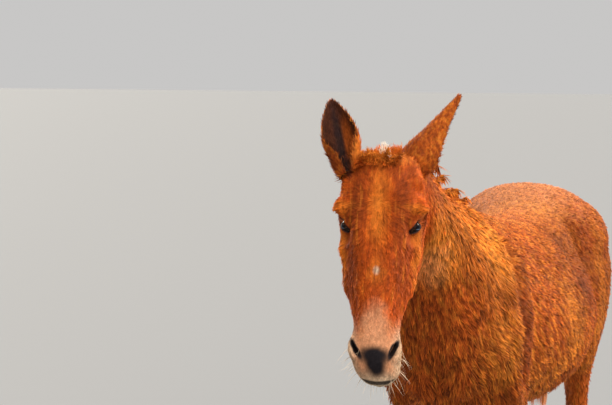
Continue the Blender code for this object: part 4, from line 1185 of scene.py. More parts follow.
    def face(self, graph: Graph, position: Socket, wander: Socket, colour: Socket) -> Socket:
        """Forehead and cheeks, the pale muzzle with its dark skin, the star and the eyes' rims; painted
        highlights on forehead, brows and facial crests, painted shade round the eyes, in the nostrils and
        along the mouth.
        """
        place = graph.turned(graph.vector("SUBTRACT", position, self.head.poll), self.head.axes())
        down, left, out = graph.parts(place)
        clean = graph.joined(down, graph.math("ABSOLUTE", left), out)
        rough = graph.vector("ADD", clean, graph.scaled(wander, self.face_wander))
        streak = graph.noise(graph.vector("MULTIPLY", place, self.FACE_STREAKS), 1.0)
        lean = graph.math("MULTIPLY", graph.step(down, *LIPS), LIP_LEAN)
        aside = graph.math("ABSOLUTE", graph.math("SUBTRACT", left, lean))
        lips = graph.vector("ADD", graph.joined(down, aside, out), graph.scaled(wander, self.lip_wander))
        colour = graph.patches(colour, (
            (rough, (0.22, 0.0, -0.09), (0.25, 0.15, 0.17), 0.15, 0.9, self.russet),
            (rough, (0.22, 0.06, -0.02), (0.15, 0.026, 0.06), 0.6, 0.6, self.deep),
            (rough, (0.13, 0.05, 0.0), (0.07, 0.02, 0.045), 0.6, 0.5, self.deep),
            # Painted shade in the hollow round each eye.
            (rough, (0.18, 0.092, -0.058), (0.044, 0.034, 0.036), 0.5, 0.55, self.deep),
            (rough, (0.06, 0.0, 0.0), (0.05, 0.09, 0.06), 0.6, 0.35, self.deep),
            (rough, (-0.01, 0.0, 0.0), (0.036, 0.075, 0.07), 0.5, 0.85, self.bright),
            # Painted highlights: a streak down the middle of the forehead and one on each brow.
            (rough, (0.145, 0.0, 0.01), (0.085, 0.019, 0.05), 0.85, 0.85, self.amber),
            (rough, (0.142, 0.088, -0.026), (0.011, 0.034, 0.034), 0.8, 0.7, self.amber),
            (rough, (0.33, 0.0, 0.01), (0.06, 0.03, 0.05), 0.6, 0.3, self.deep),
            (rough, (0.44, 0.0, -0.01), (0.058, 0.034, 0.06), 0.45, 0.85, self.mealy_and_highlight),
            (rough, (0.512, 0.0, -0.065), (0.08, 0.09, 0.11), 0.36, 1.0, self.mealy_and_highlight),
            (lips, (0.5, 0.066, -0.055), (0.07, 0.022, 0.06), 0.7, 0.7, self.cream),
            (lips, (0.565, 0.0, -0.08), (0.032, 0.062, 0.065), 0.6, 0.85, self.cream),
            (lips, (0.505, 0.0, -0.01), (0.02, 0.038, 0.03), 0.5, 1.0, self.dark),
            (lips, (0.524, 0.0, -0.016), (0.033, 0.024, 0.028), 0.45, 1.0, self.dark),
            # Dark line where the lips meet: dark lip skin, with painted shadow under the upper lip.
            (lips, (0.528, 0.0, -0.0835), (0.05, 0.066, 0.0032), 0.3, 1.0, self.dark),
            (rough, (0.302, 0.0, 0.0), (0.026, 0.018, 0.04), 0.95, 0.65, self.amber),
            # Painted highlight along each facial crest.
            (rough, (0.27, 0.094, -0.06), (0.085, 0.012, 0.03), 0.75, 0.75, self.amber),
            (clean, (0.302, 0.0, 0.0), (0.0085, 0.0065, 0.04), 0.8, 0.85, self.star),
        ))
        furred = graph.times(graph.step(down, 0.44, 0.38), graph.step(out, -0.3, -0.22), 0.55)
        for low, high, tone in ((0.5, 0.3, self.deep), (0.52, 0.74, self.amber)):
            colour = graph.tint(colour, tone, graph.step(streak, low, high), furred)
        # The lip line again, along the curve under the upper lip: dark skin and painted shadow.
        curved = graph.math("ADD", down, graph.times(aside, aside, 6.0))
        under_lip = graph.times(graph.step(curved, 0.561, 0.564), graph.step(out, -0.066, -0.058))
        colour = graph.tint(colour, self.dark, under_lip, 0.9)
        slit = graph.turned(graph.vector("SUBTRACT", lips, self.NOSTRIL), self.NOSTRIL_AXES)
        eye = EyeShape()
        look = graph.turned(graph.vector("SUBTRACT", clean, eye.place), eye.axes())
        return graph.patches(colour, (
            # Nostrils: dark skin, with painted shade standing in for the openings.
            (slit, (0.0, 0.0, 0.0), (0.03, 0.0075, 0.034), 0.25, 1.0, self.dark),
            (look, (0.0, 0.0012, 0.014), (0.0262, 0.0112, 0.03), 0.16, 0.95, self.dark),
        ))

    def ears(self, graph: Graph, position: Socket, cup: Socket, colour: Socket) -> Socket:
        """Golden at the rims, from pale hair and a painted rim highlight; dark inside the cups with a black
        streak and a browner inner side; painted shade across the back of the left ear.
        """
        # Golden rims: pale hair at the edges, and a painted rim highlight.
        rim = graph.times(graph.step(cup, 0.52, 0.62), graph.step(cup, 0.9, 0.8))
        colour = graph.mix(rim, colour, self.bright)
        inside = self.inner_ear
        for ear, towards in zip(EARS, (1, -1)):
            root, along, opening = ear.axis(self.head)
            across = np.cross(along, opening)
            inner = 1 if across @ self.head.left * towards > 0 else -1
            middle = root + along * ear.length() * 0.52
            place = graph.turned(graph.vector("SUBTRACT", position, middle), (along, across))
            inside = graph.patches(inside, (
                (place, (-0.03, inner * 0.02, 0.0), (0.07, 0.014, 1.0), 0.5, 0.75, self.chestnut),
                (place, (0.0, -0.002, 0.0), (0.085, 0.01, 1.0), 0.5, 1.0, self.dark),
                (place, (-0.085, inner * -0.008, 0.0), (0.05, 0.018, 1.0), 0.4, 0.85, self.dark),
            ))
            if ear.word == "left":
                inside = graph.patches(inside, (
                    (place, (-0.115, 0.0, 0.0), (0.07, 0.06, 1.0), 0.4, 0.9, self.bright),
                ))
                # Painted shade across the middle of the left ear's back.
                colour = graph.patches(colour, (
                    (place, (-0.08, 0.0, 0.0), (0.06, 0.026, 1.0), 0.8, 0.5, self.deep),
                ))
            else:
                colour = graph.patches(colour, (
                    (place, (-0.065, inner * -0.026, 0.0), (0.06, 0.022, 1.0), 0.5, 0.6, self.deep),
                    (place, (-0.098, 0.0, 0.0), (0.042, 0.012, 1.0), 0.6, 0.85, self.dark),
                ))
        return graph.tint(colour, inside, graph.step(cup, 0.88, 0.97), 0.94)


@dataclass(frozen=True)
class Hide:
    """The finish of skin and coat."""

    name: str
    roughness: float = 0.68
    sheen: float = 0.03
    sheen_tint: Triple = (1.0, 0.55, 0.25)
    root_shade: float = 0.2
    tip_shade: float = 1.05
    spread: float = 0.4
    hair: bool = True
    bump: float = 0.0

    def build(self) -> Material:
        """A Principled material coloured by the markings and by each tuft's own tone, with painted shade
        darkening each hair towards its root.
        """
        made, graph, shader = painted(self.name, Roughness=self.roughness, Sheen_Weight=self.sheen,
                                      Sheen_Tint=self.sheen_tint, Specular_IOR_Level=0.1)
        where = graph.add("TexCoord").outputs["Object"]
        group = graph.add("Group", node_tree=bpy.data.node_groups[MarkingsAndLight.NAME])
        graph.feed_named(group, Position=where, Cup=graph.attribute("cup", "Fac"))
        # On bare skin tip_shade scales the whole colour; set below one, it is painted shade under the coat.
        shade = self.tip_shade
        if self.hair:
            along, clump, tuft = graph.parts(graph.attribute("strand"))
            # Painted shade: each hair darker at its root, where the coat over it shades it, and lighter
            # towards its tip.
            level = graph.math("MULTIPLY_ADD", along, self.tip_shade - self.root_shade, self.root_shade)
            vary = graph.math("MULTIPLY_ADD", clump, self.spread, 1.0)
            vary = graph.math("MULTIPLY_ADD", tuft, self.spread * 0.7, vary)
            shade = graph.times(level, vary)
        else:
            graph.bump(shader, graph.noise(where, 420.0, 4.0), self.bump, 0.002)
        graph.feed(shader.inputs["Base Color"], graph.scaled(group.outputs["Color"], shade))
        return made


def strip_mesh(name: str, paths: Array, sides: Array, widths: Array, taper: Sequence[float],
               corners: Array, strand: Array, cup: Array) -> Object:
    """Joins many flat tapered hairs into one mesh.

    Args:
        name: The name of the piece.
        paths: For each hair its points from root to tip.
        sides: For each hair the direction of its width, at every point.
        widths: For each hair its full width.
        taper: How the width's share runs from the root to just before the tip.
        corners: For each hair the place of its root on the bake map.
        strand: For each hair its clump's shade and its own.
        cup: For each hair how far it stands in the cup of an ear.

    Returns:
        The piece, with its bake map and shading attributes.
    """
    count, steps = paths.shape[:2]
    pairs = steps - 1
    shape = np.interp(np.linspace(0, 1, pairs), np.linspace(0, 1, len(taper)), taper)
    half = sides[:, :pairs] * (widths[:, None] * shape / 2)[..., None]
    per = 2 * pairs + 1
    verts = np.empty((count, per, 3))
    verts[:, 0:2 * pairs:2] = paths[:, :pairs] - half
    verts[:, 1:2 * pairs:2] = paths[:, :pairs] + half
    verts[:, -1] = paths[:, -1]
    pattern = []
    for a in range(0, per - 3, 2):
        pattern += [(a, a + 1, a + 3), (a, a + 3, a + 2)]
    pattern.append((per - 3, per - 2, per - 1))
    index = (np.array(pattern)[None] + (np.arange(count) * per)[:, None, None]).reshape(-1)
    mesh = bpy.data.meshes.new(name)
    mesh.vertices.add(count * per)
    mesh.vertices.foreach_set("co", verts.astype(np.float32).ravel())
    mesh.loops.add(len(index))
    mesh.loops.foreach_set("vertex_index", index.astype(np.int32))
    mesh.polygons.add(len(index) // 3)
    mesh.polygons.foreach_set("loop_start", np.arange(0, len(index), 3, dtype=np.int32))
    mesh.update()
    along = np.repeat(np.arange(steps) / pairs, 2)[:per]
    across = np.tile((0.0, 1.0), steps)[:per]
    across[-1] = 0.5
    spots = corners[:, None, :] + np.stack((across, along), axis=1)[None] * BAKE_PATCH
    mapped = mesh.uv_layers.new(name=BAKE_MAP)
    mapped.data.foreach_set("uv", spots.reshape(-1, 2)[index].astype(np.float32).ravel())
    look = np.empty((count, per, 3))
    look[..., 0] = along
    look[..., 1:] = strand[:, None, :]
    store(mesh, "strand", look)
    store(mesh, "cup", np.repeat(cup, per))
    mesh.validate()
    return new_object(name, mesh)


def unwrapped(points: Array, origin: Array, axis: Array, front: Array) -> Array:
    """Places on a map rolled off a round form: turn about its axis, and distance along it."""
    away = points - origin
    along = away @ axis
    side = np.cross(axis, front)
    turn = np.arctan2(away @ side, away @ front) / (2 * math.pi) + 0.5
    span = max(float(np.ptp(along)), 1e-6)
    spots = np.stack((turn, (along - along.min()) / span), axis=1)
    return BAKE_START + spots * BAKE_SPAN


@dataclass(frozen=True)
class TuftStyle:
    """How the tufts of a region are made."""

    count: int
    segments: int = 3
    width: float = 0.0011
    width_share: float = 0.038
    rise: float = 0.34
    droop: float = 0.16
    twist: float = 0.4
    clump: float = 0.012
    pull: float = 0.55
    wander: float = 0.12

    def taper(self) -> tuple[float, ...]:
        """How the width's share runs from the root to just before the tip."""
        return (0.6, 1.0, 0.72) if self.segments == 3 else (0.8, 0.9)


LEG_TUFTS = TuftStyle(24_000, 2, 0.0013, 0.05, 0.36, 0.14, 0.35, 0.009, 0.45, 0.16)


@dataclass
class Coat:
    """Tufts over the whole skin, in one piece for each side of each region."""

    anatomy: Anatomy
    skin: Object
    finishes: dict[Region, Material]
    seed: int = 41
    quick_thinning: int = 4
    quick_width: float = 1.7
    sunk: float = 0.035
    broad_swirl: Range = (0.22, 0.16)
    small_swirl: Range = (0.08, 0.05)
    muzzle_density: float = 0.8
    nose_bare: float = 0.7
    sole_top: float = 0.076
    styles: dict[Region, TuftStyle] = field(default_factory=lambda: {
        Region.HEAD: TuftStyle(100_000, 2, 0.0009, 0.045, 0.36, 0.12, 0.22, 0.008, 0.35, 0.13),
        Region.NECK: TuftStyle(58_000, rise=0.25, pull=0.42),
        Region.BARREL: TuftStyle(68_000),
        Region.RUMP: TuftStyle(54_000, width=0.0013),
        Region.FORELEGS: LEG_TUFTS,
        Region.HINDLEGS: replace(LEG_TUFTS, count=26_000),
        Region.EARS: TuftStyle(20_000, 2, 0.0009, 0.045, 0.34, 0.1, 0.3, 0.006, 0.3, 0.16),
    })

    def __post_init__(self) -> None:
        """Reads the skin and starts the draw."""
        mesh = self.skin.data
        self.points, self.faces = surface(self.skin)
        self.corners, self.cup = triangles(mesh), stored(mesh, "cup")
        corners = self.points[self.corners]
        self.middles = corners.mean(axis=1)
        self.order = self.woven(self.middles)
        first, second, third = corners.transpose(1, 0, 2)
        self.areas = np.linalg.norm(np.cross(second - first, third - first), axis=1) / 2
        self.chance = np.random.default_rng(self.seed)

    def build(self) -> list[Object]:
        """Grows every region's tufts.

        Returns:
            The coat's pieces.
        """
        on_ear = self.cup[self.corners].mean(axis=1) > 0.1
        share, keep = self.anatomy.shares(self.middles), self.bare(self.middles)
        made = []
        for region in Region:
            if region is Region.EARS:
                weight = self.areas * on_ear
            else:
                weight = self.areas * share[region] * ~on_ear * keep
            if region is Region.HEAD:
                down = self.anatomy.head.read(self.middles)[:, 0]
                weight *= 1 + self.muzzle_density * soft(down, *self.anatomy.muzzle)
            made += self.grow(region, weight)
        return made

    def bare(self, points: Array) -> Array:
        """0 inside the nostrils, the mouth, the eye sockets and under the coronets, 1 elsewhere."""
        down, left, out = self.anatomy.head.read(points).T
        aside = np.abs(left)
        reach, ahead, margin, _ = EyeShape().read(np.stack((down, aside, out), axis=1))
        keep = 1.0 - ((reach < 0.045) & (ahead > 0) & (margin < 0.0032))
        front = (out > -0.075) & (down > 0.4)
        slit = ((down - 0.488) / 0.026) ** 2 + ((aside - 0.044 + 0.5 * (down - 0.488)) / 0.01) ** 2
        keep *= 1 - (slit < 1) * front
        nose = ((down - 0.518) / 0.034) ** 2 + (aside / 0.03) ** 2
        keep *= 1 - self.nose_bare * (nose < 1) * front
        return keep * (points[:, 2] > self.sole_top)

    def scatter(self, weight: Array, count: int) -> tuple[Array, Array, Array]:
        """Spreads roots evenly over the skin by weight.

        Args:
            weight: How much each triangle of the skin draws.
            count: How many roots there are.

        Returns:
            Roots, the skin's normals there, and how far each is inside an ear's cup.
        """
        total = np.cumsum(weight[self.order])
        picks = (np.arange(count) + self.chance.uniform(0, 1, count)) / count * total[-1]
        chosen = self.order[np.minimum(np.searchsorted(total, picks), len(self.order) - 1)]
        first, second = self.chance.uniform(0, 1, (2, count))
        flip = first + second > 1
        first[flip], second[flip] = 1 - first[flip], 1 - second[flip]
        parts = np.stack((1 - first - second, first, second), axis=1)[..., None]
        corner = self.corners[chosen]
        roots = (self.points[corner] * parts).sum(axis=1)
        faces = unit((self.faces[corner] * parts).sum(axis=1))
        return roots, faces, (self.cup[corner] * parts[..., 0]).sum(axis=1)

    @staticmethod
    def woven(points: Array) -> Array:
        """An order of the points that keeps neighbours near each other."""
        low, bits = points.min(axis=0), 10
        cells = ((points - low) / (points.max(axis=0) - low) * (2**bits - 1)).astype(np.int64)
        code = np.zeros(len(points), np.int64)
        for bit in range(bits):
            for axis in range(3):
                code |= ((cells[:, axis] >> bit) & 1) << (3 * bit + axis)
        return np.argsort(code, kind="stable")

    def grow(self, region: Region, weight: Array) -> list[Object]:
        """Makes one region's tufts, split by side."""
        style = self.styles[region]
        roots, faces, cup = self.scatter(weight, style.count)
        if region is Region.EARS:
            lies, lengths = self.ear_lie(roots, faces, cup)
        else:
            lies, lengths = self.anatomy.lie(roots, faces), self.anatomy.hair_length(roots, faces)
        paths, sides, widths, strand = self.tufts(style, roots, faces, lies, lengths)
        slot = "ear" if region is Region.EARS else "coat"
        made = []
        for word, side in SIDES:
            mine = roots[:, 0] * side > 0
            piece = strip_mesh(f"coat_{region.value}_{word}", paths[mine], sides[mine], widths[mine],
                               style.taper(), self.map_places(region, roots[mine], side), strand[mine],
                               cup[mine])
            made.append(hand_over(piece, self.finishes[region], slot))
        return made

    def tufts(self, style: TuftStyle, roots: Array, faces: Array, lies: Array,
              lengths: Array) -> tuple[Array, Array, Array, Array]:
        """The paths, sides, widths and shades of tufts drawn together in clumps.

        Args:
            style: The region's way of growing.
            roots: Where the tufts start.
            faces: The skin's normals there.
            lies: The way that the hair lies there.
            lengths: How long it is there.

        Returns:
            Paths, directions of width, widths, and the shades of clump and tuft.
        """
        chance, count = self.chance, len(roots)
        members = max(2, int(round((style.clump / self.spacing(roots)) ** 2)))
        heads = chance.permutation(count)[: max(1, count // members)]
        group = nearest(roots, roots[heads])
        clump = chance.normal(size=(len(heads), 4))
        swirls = enumerate((self.broad_swirl, self.small_swirl), self.seed)
        swirl = sum(amount * Waves(seed, size).at(roots) for seed, (amount, size) in swirls)
        turn = swirl + style.wander * clump[group, 0] + 0.5 * style.wander * chance.normal(size=count)
        lies = lies * np.cos(turn)[:, None] + np.cross(lies, faces) * np.sin(turn)[:, None]
        longer = 1 + 0.16 * clump[group, 1] + 0.14 * chance.normal(size=count)
        lengths = lengths * np.clip(longer, 0.45, 1.6)
        higher = 1 + 0.25 * clump[group, 2] + 0.25 * chance.normal(size=count)
        rise = style.rise * np.clip(higher, 0.3, 1.9)
        pull = roots[heads][group] - roots
        pull -= faces * dot(pull, faces)[:, None] + lies * dot(pull, lies)[:, None]
        steps = np.linspace(0, 1, style.segments + 1)
        height = rise[:, None] * steps - style.droop * steps**2 - self.sunk
        paths = (
            roots[:, None]
            + lies[:, None] * (lengths[:, None] * steps)[..., None]
            + faces[:, None] * (lengths[:, None] * height)[..., None]
            + pull[:, None] * (style.pull * steps**1.6)[None, :, None]
        )
        twist = style.twist * chance.normal(size=count)
        side = unit(np.cross(lies, faces)) * np.cos(twist)[:, None] + faces * np.sin(twist)[:, None]
        sides = np.repeat(side[:, None], style.segments + 1, axis=1)
        vary = np.clip(1 + 0.25 * chance.normal(size=count), 0.5, 1.6)
        widths = (style.width + style.width_share * lengths) * vary
        strand = np.stack((clump[group, 3], chance.normal(size=count)), axis=1)
        return paths, sides, widths, np.clip(strand, -1.4, 1.4) * 0.6

    @staticmethod
    def spacing(roots: Array) -> float:
        """Rough distance from one root to the next, from a few of them and their neighbours."""
        tree, neighbours = tree_of(roots), 8
        some = roots[:: max(1, len(roots) // 300)]
        away = [tree.find_n(point, neighbours + 1)[neighbours][2] for point in some.tolist()]
        return float(np.median(away)) * math.sqrt(math.pi / neighbours)

    def ear_lie(self, roots: Array, faces: Array, cup: Array) -> tuple[Array, Array]:
        """Hair that runs up the ears, longer inside the cup and along its lower edges."""
        lies, lengths, poll = np.zeros_like(roots), np.zeros(len(roots)), self.anatomy.head.poll
        for ear, side in zip(EARS, (-1, 1)):
            root, along, opening = ear.axis(self.anatomy.head)
            mine = roots[:, 0] * side > poll[0] * side
            up = np.clip((roots[mine] - root) @ along / ear.length(), 0, 1)
            inside = soft(cup[mine], 0.6, 0.9)
            lies[mine] = along_skin(along + opening * (0.5 * inside)[:, None], faces[mine])
            lengths[mine] = 0.009 + 0.005 * inside * (1 - up) + 0.006 * (1 - up)
        return unit(lies), lengths

    def map_places(self, region: Region, roots: Array, side: int) -> Array:
        """Where the tufts' roots lie on the bake map of their piece."""
        if region is Region.HEAD:
            return self.anatomy.head.rolled(roots)
        if region is Region.EARS:
            return unwrapped(roots, *EARS[0 if side < 0 else 1].axis(self.anatomy.head))
        if region in (Region.FORELEGS, Region.HINDLEGS):
            return unwrapped(roots, roots.mean(axis=0), UP, BACK)
        return unwrapped(roots, UP, BACK, UP)


@dataclass(frozen=True)
class Hairs:
    """Hairs about to grow, a row for each: root, way out, length, width and place on the bake map."""

    roots: Array
    ways: Array
    lengths: Array
    widths: Array
    spots: Array

    def some(self, chosen: Array) -> "Hairs":
        """Only the chosen ones."""
        rows = (self.roots, self.ways, self.lengths, self.widths, self.spots)
        return Hairs(*(row[chosen] for row in rows))


@dataclass(frozen=True)
class LockStyle:
    """How one kind of long hair is made: how many, how long, wide and heavy, and how it gathers."""

    count: int
    length: Range
    width: Range
    weight: float
    locks: int
    gather: float
    stray: float


@dataclass
class Strands:
    """Long hair that grows from the skin, bends over it and hangs in locks."""

    skin: Object
    seed: int = 7
    steps: int = 7
    stand_off: float = 0.004
    taper: tuple[float, ...] = (0.7, 1.0, 1.0, 0.85, 0.65, 0.4)
    held: float = 0.06
    unruly: float = 0.35

    def __post_init__(self) -> None:
        """Reads the skin without the ears, which long hair isn't held off."""
        mesh = self.skin.data
        cup, corners = stored(mesh, "cup"), triangles(mesh)
        corners = corners[cup[corners].max(axis=1) < 0.1]
        self.surface = BVHTree.FromPolygons(places(mesh).tolist(), corners.tolist())

    def cast(self, start: Array, way: Array) -> Array:
        """Where a line meets the skin, or the skin nearest to its start."""
        spot = self.surface.ray_cast(Vector(start), Vector(way))[0]
        return np.array(self.surface.find_nearest(Vector(start))[0] if spot is None else spot)

    def build(self, name: str, finish: Material, slot: str, style: LockStyle, hairs: Hairs,
              *nodes: str) -> Object:
        """Lays strands step by step, turning down as they go and kept off the skin.

        Args:
            name: The name of the piece.
            finish: Its material.
            slot: The record's material slot.
            style: How its hair is made.
            hairs: Where and how the strands start.
            nodes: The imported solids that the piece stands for.

        Returns:
            The piece.
        """
        chance, count = np.random.default_rng(self.seed), len(hairs.roots)
        paths = np.empty((count, self.steps + 1, 3))
        paths[:, 0] = hairs.roots
        sides = np.empty_like(paths)
        way, reach = unit(hairs.ways), hairs.lengths / self.steps
        for i in range(self.steps):
            drift = style.stray * chance.normal(size=way.shape)
            way = unit(way - UP * (style.weight * reach)[:, None] + drift)
            spot = paths[:, i] + way * reach[:, None]
            face = self.hold_off(spot, self.stand_off * (0.4 + (i + 1) / self.steps))
            way = unit(spot - paths[:, i])
            paths[:, i + 1] = spot
            sides[:, i] = unit(np.cross(way, face) + self.unruly * chance.normal(size=(count, 1)) * face)
        sides[:, -1] = sides[:, -2]
        strand = np.clip(chance.normal(size=(count, 2)), -1.8, 1.8) * 0.5
        heads = chance.permutation(count)[:style.locks]
        group = nearest(hairs.roots, hairs.roots[heads])
        strand[:, 0] = strand[heads[group], 0]
        paths = self.gathered(paths, heads, group, style.gather)
        piece = strip_mesh(name, paths, sides, hairs.widths, self.taper, hairs.spots, strand,
                           np.zeros(count))
        return hand_over(piece, finish, slot, *nodes)

    def hold_off(self, spots: Array, off: float) -> Array:
        """Lifts points that come too near the skin, in place.

        Args:
            spots: The points.
            off: How far they keep from it.

        Returns:
            The skin's normal beside each.
        """
        faces = np.empty_like(spots)
        for j, point in enumerate(spots.tolist()):
            near, normal, _, away = self.surface.find_nearest(point)
            faces[j] = normal
            if away < self.held and (Vector(point) - near).dot(normal) < off:
                spots[j] = near + normal * off
        return faces

    def gathered(self, paths: Array, heads: Array, group: Array, gather: float) -> Array:
        """Strands drawn towards the one that leads their lock.

        Args:
            paths: The strands.
            heads: Which of them lead a lock.
            group: The number of each strand's lock.
            gather: How much of the way their tips go.

        Returns:
            The strands after it.
        """
        share = gather * (np.arange(self.steps + 1) / self.steps)[None, :, None] ** 1.3
        own = paths[:, 0][:, None] + (paths[heads] - paths[heads][:, :1])[group]
        return paths * (1 - share) + (0.35 * own + 0.65 * paths[heads][group]) * share


@dataclass
class LongHair:
    """Mane, forelock and tail."""

    anatomy: Anatomy
    skin: Object
    finish: Material
    tail_finish: Material
    pale_finish: Material
    mane_style: LockStyle = LockStyle(
        count=3600, length=(0.03, 0.07), width=(0.0012, 0.0024), weight=14.0, locks=170, gather=0.4,
        stray=0.035,
    )
    mane_span: Range = (-0.8, -0.24)
    forelock_style: LockStyle = LockStyle(
        count=900, length=(0.014, 0.031), width=(0.0011, 0.002), weight=5.0, locks=90, gather=0.65,
        stray=0.08,
    )
    forelock_aside: Range = (-0.058, 0.04)
    forelock_down: Range = (-0.014, 0.036)
    pale_count: int = 60
    pale_place: Triple = (-0.012, 0.006, 0.0)
    pale_weight: float = 1.0
    pale_locks: int = 3
    tail_style: LockStyle = LockStyle(
        count=3200, length=(0.8, 1.0), width=(0.002, 0.0038), weight=20.0, locks=130, gather=0.45,
        stray=0.035,
    )
    tail_end: Range = (0.4, 0.1)
    seed: int = 23

    def build(self) -> list[Object]:
        """Grows all three."""
        return [self.mane(), *self.forelock(), self.tail()]

    def mane(self) -> Object:
        """Short rough hair along the crest, most of it fallen to the right."""
        chance, style = np.random.default_rng(self.seed), self.mane_style
        maker, count = Strands(self.skin, self.seed), style.count
        along = chance.uniform(*self.mane_span, count)
        sway = Waves(self.seed, 0.07).at(np.stack((along, along * 0, along * 0), axis=1))
        roots = np.array([maker.cast((chance.normal(-0.002, 0.008), y, 1.9), (0, 0, -1)) for y in along])
        fall = 0.5 + 0.35 * sway + 0.3 * chance.normal(size=count)
        ways = np.stack((-fall, 0.45 + 0.15 * sway, 0.55 + 0.25 * chance.normal(size=count)), axis=1)
        thin = soft(along, -0.34, self.mane_span[1])
        lengths = chance.uniform(*style.length, count) * (1 - 0.45 * thin) * (1 + 0.2 * sway)
        widths = chance.uniform(*style.width, count)
        hairs = Hairs(roots - UP * 0.003, ways, lengths, widths, unwrapped(roots, UP, BACK, UP))
        return maker.build("mane", self.finish, "coat", style, hairs)

    def forelock(self) -> list[Object]:
        """A scruffy tuft between the ears, with a few pale hairs that stand up on the poll."""
        chance = np.random.default_rng(self.seed + 1)
        maker, head = Strands(self.skin, self.seed + 1), self.anatomy.head
        style, count = self.forelock_style, self.forelock_style.count
        roots, ways = np.empty((count, 3)), np.empty((count, 3))
        for i in range(count):
            aside, down = chance.uniform(*self.forelock_aside), chance.uniform(*self.forelock_down)
            roots[i] = maker.cast(head.at(down, aside, 0.08), -head.out) - head.out * 0.002
            rise = chance.normal(-1.0, 0.35) + 32 * (down + 0.012)
            ways[i] = head.way(rise, (aside + 0.01) * 9 + chance.normal(0, 0.3), 0.55)
        lengths = chance.uniform(*style.length, count)
        widths = chance.uniform(*style.width, count)
        away = np.linalg.norm(roots - head.at(*self.pale_place), axis=1)
        chosen = away.argsort()[: self.pale_count]
        ways[chosen] = head.way(-1.0, 0.1, 0.25) + 0.1 * chance.normal(size=(len(chosen), 3))
        hairs = Hairs(roots, ways, lengths, widths, head.rolled(roots))
        brown, pale = hairs.some(np.setdiff1d(np.arange(count), chosen)), hairs.some(chosen)
        pale = replace(pale, lengths=pale.lengths * 0.5 + 0.024, widths=pale.widths * 0.8)
        pale_style = replace(style, weight=self.pale_weight, locks=self.pale_locks)
        return [
            maker.build("forelock", self.finish, "coat", style, brown),
            maker.build("forelock_pale", self.pale_finish, "coat", pale_style, pale),
        ]

    def tail(self) -> Object:
        """Hair that thickens down the dock and hangs to the hocks."""
        chance, dock = np.random.default_rng(self.seed + 2), np.array(DOCK)
        style, count = self.tail_style, self.tail_style.count
        place = np.sqrt(chance.uniform(0.02, 1.0, count)) * (len(dock) - 1.001)
        low = place.astype(int)
        part = (place - low)[:, None]
        row = dock[low] * (1 - part) + dock[low + 1] * part
        turn = chance.uniform(-math.pi, math.pi, count)
        slope = unit(dock[low + 1, :2] - dock[low, :2])
        zero = np.zeros(count)
        outward = np.stack((np.sin(turn), -slope[:, 1] * np.cos(turn), slope[:, 0] * np.cos(turn)), axis=1)
        roots = np.stack((zero, row[:, 0], row[:, 1]), axis=1) + outward * (row[:, 2:3] * 0.85)
        ways = np.stack((zero, slope[:, 0], slope[:, 1]), axis=1) + outward * 0.22
        reach = np.clip(place / (len(dock) - 1), 0, 1)
        lowest, ragged = self.tail_end
        ends = lowest + np.abs(chance.normal(0, ragged, count))
        full = np.clip(roots[:, 2] - ends, 0.05, 2)
        lengths = full * (0.3 + 0.7 * soft(reach, 0.2, 0.55)) * chance.uniform(*style.length, count)
        widths = chance.uniform(*style.width, count)
        hairs = Hairs(roots, ways, lengths, widths, unwrapped(roots, np.array((0.0, 0.9, 1.0)), UP, BACK))
        maker = Strands(self.skin, self.seed + 2, 11, 0.005)
        return maker.build("tail_hair", self.tail_finish, "tail", style, hairs, "tail")


@dataclass(frozen=True)
class PlainHair:
    """The finish of lashes and whiskers."""

    name: str = "whisker_hair"
    pale: Triple = (0.8, 0.6, 0.4)
    brown: Triple = (0.1, 0.035, 0.012)

    def build(self) -> Material:
        """Brown at the root, pale at the tip."""
        made, graph, shader = painted(self.name, Roughness=0.45)
        along, shade, _ = graph.parts(graph.attribute("strand"))
        share = graph.math("ADD", along, shade, clamp=True)
        graph.feed(shader.inputs["Base Color"], graph.mix(share, self.brown, self.pale))
        return made


